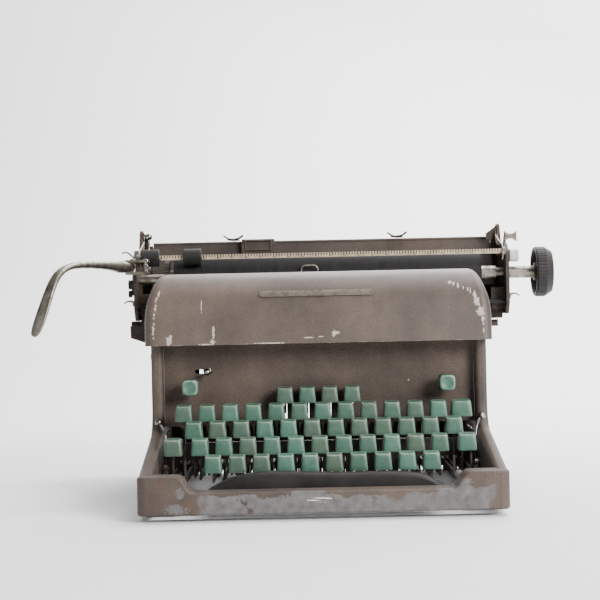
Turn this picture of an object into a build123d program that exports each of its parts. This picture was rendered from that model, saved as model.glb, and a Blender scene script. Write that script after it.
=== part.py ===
from build123d import *
import math
import os

os.makedirs("parts", exist_ok=True)

# Upright office typewriter. X runs across the machine, Y from the typist to the
# back, Z up. The pieces are drawn with X = 0 on the body's middle plane, Y = 0 on
# the front bar's face and Z = 0 on the table, and shifted together at the end.

# Body casting
BODY_HALF = 141.0
BODY_DEPTH = 322.0
FOOT_H = 5.0
FOOT_Y = 48.0
SIDE_T = 10.0
BAR_DEPTH = 20.0
BAR_TOP = 22.0
CORNER_TOP = 34.5
ARM_TOP = 60.0
COLUMN_Y = 130.0
COLUMN_TOP = 146.0
REAR_TOP = 136.0
REAR_STEP_Y = 232.0
PANEL_Y = 140.0
RIBBON_Y = PANEL_Y + 35
SHEET = 1.6
INNER_HALF = BODY_HALF - SIDE_T
CORNER_X = BODY_HALF - 29
STEP_X = CORNER_X - 16
BACK_Y = BODY_DEPTH - 6
LUG_X = INNER_HALF - 5
FOOT_X = INNER_HALF - 9
WINDOW_Y = (COLUMN_Y + BODY_DEPTH) / 2 + 1
WINDOW_L = BODY_DEPTH - COLUMN_Y - 42
WINDOW_Z = 70.0
WINDOW_H = 92.0

# Clearances
RUN = 0.05
GAP = 0.3

# Screws
SCREW_R = 1.5
HEAD_R = 2.75
HEAD_H = 1.6
SCREW_LEN = 7.0

# Keyboard
CAP_TOP = 12.8
CAP_BASE = 14.6
CAP_H = 14.0
LEVER_T = 1.4
LEVER_H = 6.0
FULCRUM_Y = 296.0
FULCRUM_Z = 26.0
FULCRUM_R = 2.5
COMB_Y = 150.0
COMB_T = 3.0
ROWS = (
    ("4", 54.0, 45.0, [-85.9 + 19.12 * i for i in range(10)]),
    ("3", 73.0, 57.0, [-97.2 + 19.19 * i for i in range(11)]),
    ("2", 91.0, 69.0, [-103.0 + 19.19 * i for i in range(12)]),
    ("1", 110.0, 81.0, [-112.4 + 19.07 * i for i in range(12)]),
)
WIDE_CAP = 17.6
END_CAP = 15.4
TAB_XS = (-29.0, -10.3, 8.4, 27.1)
TAB_Y = 128.0
TAB_Z = 93.6
LOCK_X = -118.8
RIGHT_X = 116.5
RIGHT_LEVER_X = 119.6
SHIFT_XS = (-107.7, 104.0)
SPACE_ARM_XS = (-80.9, 82.3)
SPACE_Y = 33.0
SPACE_Z = 19.6

# Platen
PLATEN_Y = 255.0
PLATEN_Z = 187.5
PLATEN_R = 21.5

# Hood
HOOD_HALF = BODY_HALF + 3.5
HOOD_T = 2.0
HOOD_LOW = 130.0
HOOD_FRONT = 112.0
HOOD_REAR = PLATEN_Y - PLATEN_R - 5.5
HOOD_TOP = 190.0
HOOD_PIVOT_Y = 133.5
HOOD_PIVOT_Z = 133.5
PIN_R = 2.0

# Type basket
SEGMENT_Y = 196.0
SEGMENT_Z = 150.0
SEGMENT_R = 46.0
TYPE_BARS = 42
TYPE_ARC = 152.0
SPOOL_X = 100.0
SPOOL_Y = 182.0
WING_Z = 139.0

# Carriage
CARRIAGE_L = -162.5
CARRIAGE_R = 173.0
PLATE_T = 3.0
PLATE_LOW = 149.6
RAIL_TOP = 145.0
RAIL_L = -BODY_HALF - 31.5
RAIL_R = BODY_HALF + 19
BED_TOP = 158.0
PLATEN_L = CARRIAGE_L + 33.5
PLATEN_END = CARRIAGE_R - 22
SHAFT_R = 4.5
KNOB_R = 23.0
KNOB_X = CARRIAGE_R + 28.5
KNOB_W = 15.5
FEED_R = 7.0
FEED_REACH = PLATEN_R + FEED_R + 0.58
FEED_Y = PLATEN_Y - 0.4264 * FEED_REACH
FEED_Z = PLATEN_Z - 0.9044 * FEED_REACH
BAIL_ROLL_R = 7.75
BAIL_REACH = PLATEN_R + BAIL_ROLL_R + 0.35
BAIL_Y = PLATEN_Y - 0.7668 * BAIL_REACH
BAIL_Z = PLATEN_Z + 0.6419 * BAIL_REACH
PLATE_FRONT = BAIL_Y + 0.7
BAIL_PIVOT_Y = 276.0
BAIL_PIVOT_Z = 207.0
TABLE_LOW = (PLATEN_Y + PLATEN_R + 5.5, 177.0)
TABLE_HIGH = (TABLE_LOW[0] + 22.5, 221.5)
BED_REAR = TABLE_LOW[0] + 22
GUIDE_Y = HOOD_REAR + 2.4
TABLE_L = CARRIAGE_L + 9
TABLE_R = CARRIAGE_R - 5
LEVER_X = CARRIAGE_L - 0.5
LEVER_Y = PLATE_FRONT - 19
BRACKET_LOW = 191.5
BRACKET_TOP = 204.5
EAR_T = 2.2

ACROSS = Plane.YZ


# ---- Chassis ----

with BuildPart() as side_wall:
    # Low arm beside the keyboard that sweeps up into a column, its edges rounded.
    with BuildSketch(ACROSS):
        with BuildLine():
            FilletPolyline((12, CORNER_TOP), (COLUMN_Y, ARM_TOP), (COLUMN_Y, COLUMN_TOP), radius=21)
            Polyline(
                (COLUMN_Y, COLUMN_TOP),
                (REAR_STEP_Y, COLUMN_TOP),
                (REAR_STEP_Y, REAR_TOP),
                (BODY_DEPTH, REAR_TOP),
                (BODY_DEPTH, FOOT_H),
                (12, FOOT_H),
                (12, CORNER_TOP),
            )
        make_face()
    extrude(amount=SIDE_T)
    rounded = side_wall.edges().filter_by(Axis.X, reverse=True)
    rounded = rounded.filter_by(lambda e: e.center().Y < COLUMN_Y + 1 and e.center().Z > CORNER_TOP)
    fillet(rounded, radius=4)

with BuildPart() as base_frame:
    # Front bar: low in the middle, S-curved up to the corners.
    with BuildSketch(Plane.XZ):
        with BuildLine():
            Polyline(
                (-CORNER_X, CORNER_TOP),
                (-BODY_HALF, CORNER_TOP),
                (-BODY_HALF, FOOT_H),
                (BODY_HALF, FOOT_H),
                (BODY_HALF, CORNER_TOP),
                (CORNER_X, CORNER_TOP),
            )
            Spline([(CORNER_X, CORNER_TOP), (STEP_X, BAR_TOP)], tangents=[(-1, 0), (-1, 0)])
            Line((STEP_X, BAR_TOP), (-STEP_X, BAR_TOP))
            Spline([(-STEP_X, BAR_TOP), (-CORNER_X, CORNER_TOP)], tangents=[(-1, 0), (-1, 0)])
        make_face()
    extrude(amount=-BAR_DEPTH)
    fillet(base_frame.edges().filter_by(Axis.Z).filter_by_position(Axis.Y, -1, 1), radius=7)
    fillet(base_frame.faces().filter_by(Axis.Y).sort_by(Axis.Y)[0].edges(), radius=2)
    for x in (-BODY_HALF, INNER_HALF):
        with Locations((x, 0, 0)):
            add(side_wall.part)
    # Foot seats inside the front corners.
    for side in (-1, 1):
        with Locations((side * FOOT_X, FOOT_Y, FOOT_H + 2.5)):
            Box(20, 24, 5)
    # Rear bar, and the lugs that the panels screw to.
    with Locations((0, BODY_DEPTH - 9, (FOOT_H + 20) / 2)):
        Box(2 * INNER_HALF, 18, 20 - FOOT_H)
    for side in (-1, 1):
        with Locations((side * LUG_X, PANEL_Y + SHEET + 4, 134)):
            Box(10, 8, 10)
        for z in (40, 114):
            with Locations((side * LUG_X, BACK_Y - 5, z)):
                Box(10, 10, 10)
    # Side windows with a rebate for the cover plates.
    for side in (-1, 1):
        with Locations((side * (BODY_HALF - SIDE_T / 2), WINDOW_Y, WINDOW_Z)):
            Box(SIDE_T + 2, WINDOW_L, WINDOW_H, mode=Mode.SUBTRACT)
        with Locations((side * (BODY_HALF - SHEET / 2), WINDOW_Y, WINDOW_Z)):
            Box(SHEET, WINDOW_L + 16, WINDOW_H + 16, mode=Mode.SUBTRACT)
    # Screw holes.
    for side in (-1, 1):
        for y in (WINDOW_Y - WINDOW_L / 2 - 4, WINDOW_Y + WINDOW_L / 2 + 4):
            for z in (WINDOW_Z - WINDOW_H / 2 - 4, WINDOW_Z + WINDOW_H / 2 + 4):
                with BuildSketch(ACROSS.offset(side * (BODY_HALF - SHEET))):
                    with Locations((y, z)):
                        Circle(SCREW_R + RUN)
                extrude(amount=-side * SCREW_LEN, mode=Mode.SUBTRACT)
        with BuildSketch(Plane.XZ.offset(-PANEL_Y - SHEET)):
            with Locations((side * LUG_X, 134)):
                Circle(SCREW_R + RUN)
        extrude(amount=-SCREW_LEN, mode=Mode.SUBTRACT)
        with BuildSketch(Plane.XZ.offset(-BACK_Y)):
            with Locations((side * LUG_X, 40), (side * LUG_X, 114)):
                Circle(SCREW_R + RUN)
        extrude(amount=SCREW_LEN, mode=Mode.SUBTRACT)
        # Pivot studs of the hood (outside) and of the side levers (inside).
        with BuildSketch(ACROSS.offset(side * (BODY_HALF - 1))):
            with Locations((HOOD_PIVOT_Y, HOOD_PIVOT_Z)):
                Circle(PIN_R)
        extrude(amount=side * (HOOD_HALF - BODY_HALF + 1.4))
        with BuildSketch(ACROSS.offset(side * (INNER_HALF + 1))):
            with Locations((112, 28)):
                Circle(PIN_R)
        extrude(amount=-side * 6.4)

for name, side in (("left", -1), ("right", 1)):
    # Flat cover plate in the rebate of the side wall.
    with BuildPart() as side_plate:
        with BuildSketch(ACROSS.offset(side * BODY_HALF)):
            with Locations((WINDOW_Y, WINDOW_Z)):
                RectangleRounded(WINDOW_L + 16 - 2 * GAP, WINDOW_H + 16 - 2 * GAP, 1)
            with Locations((WINDOW_Y, WINDOW_Z)):
                with GridLocations(WINDOW_L + 8, WINDOW_H + 8, 2, 2):
                    Circle(SCREW_R + 0.2, mode=Mode.SUBTRACT)
        extrude(amount=-side * SHEET)
        # Pressed louvres low on the plate.
        with BuildSketch(ACROSS.offset(side * BODY_HALF)):
            with Locations((WINDOW_Y, WINDOW_Z - 24)):
                with GridLocations(20, 9, 5, 3):
                    SlotOverall(16, 2.4)
        extrude(amount=-side * SHEET, mode=Mode.SUBTRACT)
    side_plate.part.label = "side_plate_" + name
    if side < 0:
        side_plate_left = side_plate
    else:
        side_plate_right = side_plate

with BuildPart() as front_panel:
    # Upright sheet behind the keyboard with the openings for the panel keys.
    with BuildSketch(Plane.XZ.offset(-PANEL_Y)):
        with Locations((0, 100)):
            Rectangle(2 * INNER_HALF - 0.6, 78)
        with Locations((-LUG_X, 134), (LUG_X, 134)):
            Circle(SCREW_R + 0.2, mode=Mode.SUBTRACT)
        with Locations((-108, 94.5), (106.6, 94.5)):
            Rectangle(5, 5, mode=Mode.SUBTRACT)
        with Locations((-97.5, 107)):
            SlotOverall(15, 3.6, mode=Mode.SUBTRACT)
        with Locations(*[(x, 73) for x in TAB_XS]):
            Rectangle(3, 17, mode=Mode.SUBTRACT)
    extrude(amount=-SHEET)
    # Stiffening fold along the lower edge.
    with BuildSketch(Plane.XZ.offset(-PANEL_Y - SHEET)):
        with Locations((0, 61 + SHEET / 2)):
            Rectangle(2 * INNER_HALF - 0.6, SHEET)
    extrude(amount=-5)
    # Shelf and stud behind the slot for the ribbon lever.
    with Locations((-94, PANEL_Y + SHEET + 20, 103)):
        Box(8, 40, SHEET)
    with Locations((-94, RIBBON_Y, 106)):
        Cylinder(PIN_R, 5)

with BuildPart() as rear_panel:
    # Sheet frame around the large access opening at the back.
    with BuildSketch(Plane.XZ.offset(-BACK_Y)):
        with Locations((0, 77)):
            Rectangle(2 * INNER_HALF - 0.6, 112)
        with Locations((0, 77)):
            with GridLocations(2 * LUG_X, 74, 2, 2):
                Circle(SCREW_R + 0.2, mode=Mode.SUBTRACT)
        with Locations((0, 88)):
            RectangleRounded(2 * INNER_HALF - 36, 72, 8, mode=Mode.SUBTRACT)
    extrude(amount=-SHEET)

with BuildPart() as rubber_feet:
    with BuildSketch(Plane.XY):
        with Locations((-FOOT_X, FOOT_Y), (FOOT_X, FOOT_Y), (-LUG_X, BACK_Y - 5), (LUG_X, BACK_Y - 5)):
            Circle(7.5)
    extrude(amount=FOOT_H, taper=6)

with BuildPart() as screw:
    with BuildSketch(Plane.XY):
        Circle(HEAD_R)
    extrude(amount=HEAD_H)
    fillet(screw.edges().group_by(Axis.Z)[-1], radius=0.5)
    with Locations((0, 0, HEAD_H)):
        Box(2 * HEAD_R, 0.7, 1.4, mode=Mode.SUBTRACT)
    with BuildSketch(Plane.XY):
        Circle(SCREW_R)
    extrude(amount=-SCREW_LEN)

with BuildPart() as case_screws:
    # Eight on the side plates, two on the front panel, four on the rear panel.
    for side in (-1, 1):
        for y in (WINDOW_Y - WINDOW_L / 2 - 4, WINDOW_Y + WINDOW_L / 2 + 4):
            for z in (WINDOW_Z - WINDOW_H / 2 - 4, WINDOW_Z + WINDOW_H / 2 + 4):
                with Locations(Location((side * BODY_HALF, y, z), (0, side * 90, 0))):
                    add(screw.part)
        with Locations(Location((side * LUG_X, PANEL_Y, 134), (90, 0, 0))):
            add(screw.part)
        for z in (40, 114):
            place = Location((side * LUG_X, BACK_Y + SHEET, z), (-90, 0, 0))
            with Locations(place):
                add(screw.part)

with BuildPart() as carriage_rails:
    # Track across the top of the body with a raised guide rib.
    with BuildSketch(ACROSS.offset(RAIL_L)):
        with Locations((276, (REAR_TOP + RAIL_TOP) / 2)):
            Rectangle(28, RAIL_TOP - REAR_TOP)
        with Locations((276, RAIL_TOP + 2)):
            Rectangle(8, 4)
    extrude(amount=RAIL_R - RAIL_L)
    # Tapered stop under the left end and a round buffer on the right end.
    with BuildSketch(Plane.XZ.offset(-264)):
        with BuildLine():
            Polyline(
                (RAIL_L, REAR_TOP),
                (RAIL_L, 133.5),
                (RAIL_L + 11.5, 129.5),
                (RAIL_L + 22.5, 129.5),
                (RAIL_L + 22.5, REAR_TOP),
                close=True,
            )
        make_face()
    extrude(amount=-22)
    with BuildSketch(ACROSS.offset(RAIL_R)):
        with Locations((268, 141)):
            Circle(3.2)
    extrude(amount=9)

# ---- Type basket ----

with BuildPart() as type_segment:
    # Slotted half ring that holds the type bars.
    with BuildSketch(Plane.XZ.offset(-SEGMENT_Y)):
        with Locations((0, SEGMENT_Z)):
            Circle(SEGMENT_R + 14)
            Circle(SEGMENT_R - 10, mode=Mode.SUBTRACT)
        with Locations((0, SEGMENT_Z + 40)):
            Rectangle(140, 80 + 2 * (SEGMENT_Z - WING_Z - 3), mode=Mode.SUBTRACT)
    extrude(amount=-10)
    # Wings that tie it to the side walls and carry the ribbon spools.
    for side in (-1, 1):
        wing = (INNER_HALF - 56, (INNER_HALF + 56) / 2)
        with Locations((side * wing[1], SPOOL_Y + 4, WING_Z - 1.5)):
            Box(wing[0], 56, 3)
        with Locations((side * wing[1], SEGMENT_Y + 5, WING_Z - 6)):
            Box(wing[0], 10, 8)
        with Locations((side * SPOOL_X, SPOOL_Y, WING_Z + 11)):
            Cylinder(PIN_R, 22)
    # A slot for each bar.
    with BuildSketch(Plane.XZ.offset(-SEGMENT_Y)):
        with Locations((0, SEGMENT_Z)):
            with PolarLocations(SEGMENT_R - 1, TYPE_BARS, 270 - TYPE_ARC / 2, TYPE_ARC, endpoint=True):
                Rectangle(19, 1.6)
    extrude(amount=-6, mode=Mode.SUBTRACT)

with BuildPart() as type_bars:
    # A thin bar with a type slug on its end, repeated around the half ring.
    with BuildSketch(Plane.XZ.offset(-SEGMENT_Y + 44)):
        with Locations((0, SEGMENT_Z)):
            with PolarLocations(SEGMENT_R, TYPE_BARS, 270 - TYPE_ARC / 2, TYPE_ARC, endpoint=True):
                Rectangle(6, 1.1)
    extrude(amount=-49)
    with BuildSketch(Plane.XZ.offset(-SEGMENT_Y + 44)):
        with Locations((0, SEGMENT_Z)):
            with PolarLocations(SEGMENT_R + 3, TYPE_BARS, 270 - TYPE_ARC / 2, TYPE_ARC, endpoint=True):
                Rectangle(12, 2.4)
    extrude(amount=-4)

with BuildPart() as type_guide:
    # Bent wire arch at the printing point, standing on the half ring's middle.
    with BuildLine():
        arch = FilletPolyline(
            (-13, GUIDE_Y, 150),
            (-13, GUIDE_Y, 196.8),
            (2, GUIDE_Y, 196.8),
            (2, GUIDE_Y, 150),
            radius=4,
        )
    with BuildSketch(Plane(origin=arch @ 0, z_dir=arch % 0)):
        Circle(0.7)
    sweep()
    foot = GUIDE_Y + 1.1 - (SEGMENT_Y + 14.5)
    with Locations((-5.5, SEGMENT_Y + 14.5 + foot / 2, 150)):
        Box(18, foot, 1.6)
    with Locations((-5.5, SEGMENT_Y + 15.3, 127)):
        Box(18, 1.6, 47.6)
    with Locations((-5.5, SEGMENT_Y + 12.3, 104)):
        Box(18, 4.6, 1.6)

with BuildPart() as ribbon_spool:
    # Spool with its wound ribbon.
    with BuildSketch(Plane.XY):
        Circle(18)
        Circle(PIN_R + RUN, mode=Mode.SUBTRACT)
    extrude(amount=1)
    with BuildSketch(Plane.XY.offset(1)):
        Circle(14.5)
        Circle(PIN_R + RUN, mode=Mode.SUBTRACT)
    extrude(amount=11)
    with BuildSketch(Plane.XY.offset(12)):
        Circle(18)
        Circle(PIN_R + RUN, mode=Mode.SUBTRACT)
    extrude(amount=1)

for name, side in (("left", -1), ("right", 1)):
    with BuildPart() as spool:
        with Locations((side * SPOOL_X, SPOOL_Y, WING_Z + GAP)):
            add(ribbon_spool.part)
    spool.part.label = "ribbon_spool_" + name
    if side < 0:
        ribbon_spool_left = spool
    else:
        ribbon_spool_right = spool

# ---- Hood ----

def hood_block(t, radius):
    """Block with the hood's outline, t inside its outer face."""
    half = HOOD_HALF - t
    low = HOOD_LOW - t
    top = HOOD_TOP - t
    rear = HOOD_REAR + t
    front = HOOD_FRONT + t
    with BuildPart() as block:
        # Side view: upright front that rolls back over the top.
        with BuildSketch(ACROSS.offset(-half - 5)):
            with BuildLine():
                Line((rear, low), (front, low))
                Line((front, low), (front + 3, 156))
                Spline(
                    [(front + 3, 156), (131 + t * 0.8, 182.5 - t * 0.8), (166, top)],
                    tangents=[(3, 26), (1, 0)],
                )
                Line((166, top), (rear, top))
                Line((rear, top), (rear, low))
            make_face()
        extrude(amount=2 * half + 10)
        # Front view: tall elliptical shoulders.
        with BuildSketch(Plane.XZ.offset(-front + 5)):
            with BuildLine():
                Polyline((-half, 147), (-half, low - 5), (half, low - 5), (half, 147))
                crown = top + 1.5
                bend = (half - 5.9, 147 + 0.707 * (crown - 147))
                Spline([(half, 147), bend, (half - 20, crown)], tangents=[(0, 2), (-1, 0)])
                Line((half - 20, crown), (20 - half, crown))
                Spline(
                    [(20 - half, crown), (-bend[0], bend[1]), (-half, 147)],
                    tangents=[(-1, 0), (0, -2)],
                )
            make_face()
        extrude(amount=-(rear - front + 10), mode=Mode.INTERSECT)
        rim = block.edges().filter_by(Axis.X, reverse=True)
        rim = rim.filter_by(lambda e: e.center().Z > low + 1 and e.center().Y < rear - 1)
        fillet(rim, radius=radius)
    return block.part


with BuildPart() as hood:
    # Sheet cover, open below and behind.
    add(hood_block(0, 8))
    add(hood_block(HOOD_T, 6), mode=Mode.SUBTRACT)
    for side in (-1, 1):
        with BuildSketch(ACROSS.offset(side * (HOOD_HALF - 3))):
            with Locations((HOOD_PIVOT_Y, HOOD_PIVOT_Z)):
                Circle(PIN_R + RUN)
        extrude(amount=side * 5, mode=Mode.SUBTRACT)

with BuildPart() as hood_badge:
    # Plain raised trim strip with rounded ends that follows the hood's face.
    with BuildSketch(Plane.XZ.offset(-HOOD_FRONT)):
        with Locations((-0.7, 171.5)):
            SlotOverall(96, 5)
    extrude(amount=-20)
    add(hood_block(-1.2, 8), mode=Mode.INTERSECT)
    add(hood_block(0, 8), mode=Mode.SUBTRACT)

# ---- Carriage ----

with BuildPart() as carriage_bed:
    # Beam that runs on the rail, with a groove for the rib and cast end blocks.
    with BuildSketch(ACROSS.offset(CARRIAGE_L)):
        with BuildLine():
            Polyline(
                (262, RAIL_TOP + GAP),
                (276 - 4 - GAP, RAIL_TOP + GAP),
                (276 - 4 - GAP, RAIL_TOP + 4 + GAP),
                (276 + 4 + GAP, RAIL_TOP + 4 + GAP),
                (276 + 4 + GAP, RAIL_TOP + GAP),
                (BED_REAR, RAIL_TOP + GAP),
                (BED_REAR, BED_TOP),
                (262, BED_TOP),
                close=True,
            )
        make_face()
    extrude(amount=CARRIAGE_R - CARRIAGE_L)
    for x in (CARRIAGE_L + 6, CARRIAGE_R - 6):
        with Locations((x, 255, 165.5)):
            Box(12, 14, 17)
        with Locations((x, 262, BED_TOP - 2)):
            Box(12, 28, 4)
    fillet(carriage_bed.edges().filter_by(Axis.X).group_by(Axis.Z)[-1], radius=1.5)
    # Back wall behind the paper table.
    with Locations(((CARRIAGE_L + CARRIAGE_R) / 2, BED_REAR - 1, 181)):
        Box(CARRIAGE_R - CARRIAGE_L, 2, 62)

for name, x in (("left", CARRIAGE_L - PLATE_T), ("right", CARRIAGE_R)):
    # End plate: bearing for the platen, with a pointed lug for the paper table.
    with BuildPart() as end_plate:
        with BuildSketch(ACROSS.offset(x)) as outline:
            with BuildLine():
                Polyline(
                    (PLATE_FRONT, 160),
                    (PLATE_FRONT, 206),
                    (246, 214),
                    (284, 214),
                    (294, 233),
                    (300, 235),
                    (BED_REAR + 2, 229),
                    (BED_REAR + 2, PLATE_LOW + 12),
                    (298, PLATE_LOW),
                    (242, PLATE_LOW),
                    close=True,
                )
            make_face()
            fillet(outline.vertices(), radius=2.5)
            with Locations((PLATEN_Y, PLATEN_Z)):
                Circle(SHAFT_R + RUN, mode=Mode.SUBTRACT)
            with Locations((FEED_Y, FEED_Z)):
                Circle(PIN_R + RUN, mode=Mode.SUBTRACT)
        extrude(amount=PLATE_T)
        # Ear turned inwards behind the lug.
        if name == "left":
            inward = 1
            ear = ((-2, 234), (5, 229), (5, 217), (-2, 212))
        else:
            inward = -1
            ear = ((-2, 234), (10, 225.5), (10, 219.5), (-2, 216))
        with BuildSketch(Plane.XZ.offset(-296)):
            with BuildLine():
                Polyline(*[(x + PLATE_T / 2 + inward * (PLATE_T / 2 + u), v) for u, v in ear], close=True)
            make_face()
        extrude(amount=1.6)
        # Studs for the bail and the levers that turn beside the plate.
        inner = x + PLATE_T if inward > 0 else x
        outer = x if inward > 0 else x + PLATE_T
        inside = [(BAIL_PIVOT_Y, BAIL_PIVOT_Z, 3.4)]
        outside = [(266, 166, 3.4)]
        if name == "left":
            inside.append((287, 196, 9.4))
            outside.append((244, 183, 6))
        else:
            outside.append((285, 195, 3.4))
            with BuildSketch(ACROSS.offset(x)):
                with Locations((250, 203)):
                    Circle(2.6 + RUN)
            extrude(amount=PLATE_T, mode=Mode.SUBTRACT)
        for studs, start, way in ((inside, inner, inward), (outside, outer, -inward)):
            for y, z, reach in studs:
                with BuildSketch(ACROSS.offset(start - way)):
                    with Locations((y, z)):
                        Circle(PIN_R)
                extrude(amount=way * (reach + 1))
    end_plate.part.label = "end_plate_" + name
    if name == "left":
        end_plate_left = end_plate
    else:
        end_plate_right = end_plate

with BuildPart() as paper_table:
    # Sloping sheet behind the platen with a rolled top edge and side ears.
    with BuildSketch(ACROSS.offset(TABLE_L)):
        with BuildLine():
            Polyline(
                TABLE_LOW,
                TABLE_HIGH,
                (TABLE_HIGH[0] + 1.8, TABLE_HIGH[1]),
                (TABLE_LOW[0] + 1.8, TABLE_LOW[1]),
                close=True,
            )
        make_face()
        with Locations((TABLE_HIGH[0] + 1.4, TABLE_HIGH[1] - 0.5)):
            Circle(2)
    extrude(amount=TABLE_R - TABLE_L)
    for x, w in ((CARRIAGE_L, TABLE_L - CARRIAGE_L), (TABLE_R, CARRIAGE_R - TABLE_R)):
        with Locations((x + w / 2, BED_REAR - 3, 216)):
            Box(w, 2, 8)
    with Locations(((TABLE_L + TABLE_R) / 2, BED_REAR - 17.5, 177)):
        Box(240, 7, 1.8)
    for x in (-100, 112):
        with Locations((x, BED_REAR - 15, 167.5)):
            Box(14, 2, 19)

with BuildPart() as page_clips:
    # Two curved spring clips on the top edge of the paper table.
    for x in (-77, 79):
        with BuildSketch(Plane.XZ.offset(-TABLE_HIGH[0] + 5)):
            with BuildLine():
                ThreePointArc((x - 9, 227.3), (x, 224.2), (x + 9, 227.3))
                Line((x + 9, 227.3), (x + 9, 228.3))
                ThreePointArc((x + 9, 228.3), (x, 225.2), (x - 9, 228.3))
                Line((x - 9, 228.3), (x - 9, 227.3))
            make_face()
        extrude(amount=-10)

with BuildPart() as margin_rack:
    # Toothed bar along the back of the bed.
    with BuildSketch(Plane.XZ.offset(13 - BED_REAR)):
        with Locations(((CARRIAGE_L + CARRIAGE_R) / 2, BED_TOP + 3)):
            Rectangle(CARRIAGE_R - CARRIAGE_L, 6)
        with Locations(((CARRIAGE_L + CARRIAGE_R) / 2, BED_TOP + 5.5)):
            with GridLocations(5.08, 1, 58, 1):
                Rectangle(2.54, 2, mode=Mode.SUBTRACT)
    extrude(amount=-3)

with BuildPart() as lever_bracket:
    # Clevis on the left end plate that carries the return lever.
    with Locations((LEVER_X - 3.2, LEVER_Y + 10.5, (BRACKET_LOW + BRACKET_TOP) / 2)):
        Box(7.4, 17, BRACKET_TOP - BRACKET_LOW)
    for z in (BRACKET_LOW + EAR_T / 2, BRACKET_TOP - EAR_T / 2):
        with Locations((LEVER_X + 3.5, LEVER_Y + 0.2, z)):
            Box(20.8, 19, EAR_T)
    fillet(lever_bracket.edges().filter_by(Axis.Z), radius=1.8)
    with BuildSketch(Plane.XY.offset(BRACKET_LOW)):
        with Locations((LEVER_X, LEVER_Y)):
            Circle(3)
    extrude(amount=BRACKET_TOP - BRACKET_LOW + 1.2)
    with BuildSketch(Plane.XY.offset(BRACKET_LOW + EAR_T)):
        with Locations((LEVER_X, LEVER_Y)):
            Circle(8.5)
            Circle(3, mode=Mode.SUBTRACT)
    extrude(amount=BRACKET_TOP - BRACKET_LOW - 2 * EAR_T, mode=Mode.SUBTRACT)
    # Two bright screws through the ears.
    for y in (LEVER_Y - 6, LEVER_Y + 4):
        with Locations((LEVER_X + 11, y, (BRACKET_LOW + BRACKET_TOP) / 2)):
            Cylinder(1.6, BRACKET_TOP - BRACKET_LOW + 1.6)

# ---- Platen ----

with BuildPart() as platen_roller:
    with BuildSketch(ACROSS.offset(PLATEN_L)):
        with Locations((PLATEN_Y, PLATEN_Z)):
            Circle(PLATEN_R)
            Circle(SHAFT_R + RUN, mode=Mode.SUBTRACT)
    extrude(amount=PLATEN_END - PLATEN_L)
    rims = platen_roller.edges().filter_by(GeomType.CIRCLE).sort_by(SortBy.RADIUS)[-2:]
    chamfer(rims, length=1)

with BuildPart() as platen_shaft:
    # Shaft with a set collar inside the right end plate and a sleeve outside it.
    for x0, x1, r in (
        (CARRIAGE_L - PLATE_T - 3, KNOB_X + KNOB_W - 4, SHAFT_R),
        (PLATEN_END + 1, CARRIAGE_R - 7, 6.25),
        (CARRIAGE_R + PLATE_T + GAP, KNOB_X - 0.3, 5.5),
        (CARRIAGE_L - PLATE_T - 3, CARRIAGE_L - PLATE_T - GAP, 6),
    ):
        with BuildSketch(ACROSS.offset(x0)):
            with Locations((PLATEN_Y, PLATEN_Z)):
                Circle(r)
        extrude(amount=x1 - x0)
    for x in (PLATEN_END + 8.5, KNOB_X - 8.5):
        with Locations((x, PLATEN_Y, PLATEN_Z + 5.5)):
            Cylinder(1.6, 5, mode=Mode.SUBTRACT)

with BuildPart() as platen_knob:
    # Rubber-rimmed hand wheel: hub, recessed web and a ribbed rim.
    with BuildSketch(Plane.XY):
        with BuildLine():
            Polyline(
                (KNOB_X, SHAFT_R + RUN),
                (KNOB_X, 8),
                (KNOB_X + 5, 9),
                (KNOB_X + 5, KNOB_R - 4),
                (KNOB_X, KNOB_R - 3),
                (KNOB_X, KNOB_R - 1),
                (KNOB_X + 1.5, KNOB_R),
                (KNOB_X + 9, KNOB_R),
                (KNOB_X + KNOB_W, KNOB_R - 4),
                (KNOB_X + KNOB_W, KNOB_R - 8),
                (KNOB_X + 10, KNOB_R - 8),
                (KNOB_X + 10, 9),
                (KNOB_X + KNOB_W - 3, 8),
                (KNOB_X + KNOB_W - 3, SHAFT_R + RUN),
                close=True,
            )
        make_face()
    revolve(axis=Axis.X)
    with BuildSketch(ACROSS.offset(KNOB_X + 1.6)):
        with PolarLocations(KNOB_R, 48):
            Circle(0.7)
    extrude(amount=KNOB_W, mode=Mode.SUBTRACT)
platen_knob.part.locate(Location((0, PLATEN_Y, PLATEN_Z)))

with BuildPart() as platen_ratchet:
    # Line-feed ratchet on the left end of the platen.
    with BuildSketch(ACROSS.offset(PLATEN_L - 9)):
        with Locations((PLATEN_Y, PLATEN_Z)):
            Circle(PLATEN_R - 4.5)
            with PolarLocations(PLATEN_R - 4.5, 36):
                Rectangle(2.4, 1.3, mode=Mode.SUBTRACT)
            Circle(SHAFT_R + RUN, mode=Mode.SUBTRACT)
    extrude(amount=4)
    with BuildSketch(ACROSS.offset(PLATEN_L - 5)):
        with Locations((PLATEN_Y, PLATEN_Z)):
            Circle(8)
            Circle(SHAFT_R + RUN, mode=Mode.SUBTRACT)
    extrude(amount=4.8)

with BuildPart() as feed_rollers:
    # Pressure rollers under the platen on one shaft between the end plates.
    with BuildSketch(ACROSS.offset(CARRIAGE_L - PLATE_T)):
        with Locations((FEED_Y, FEED_Z)):
            Circle(PIN_R)
    extrude(amount=CARRIAGE_R - CARRIAGE_L + 2 * PLATE_T)
    for x in (-110, -38, 34, 106):
        with BuildSketch(ACROSS.offset(x)):
            with Locations((FEED_Y, FEED_Z)):
                Circle(FEED_R)
        extrude(amount=30)

# ---- Paper bail ----

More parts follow.
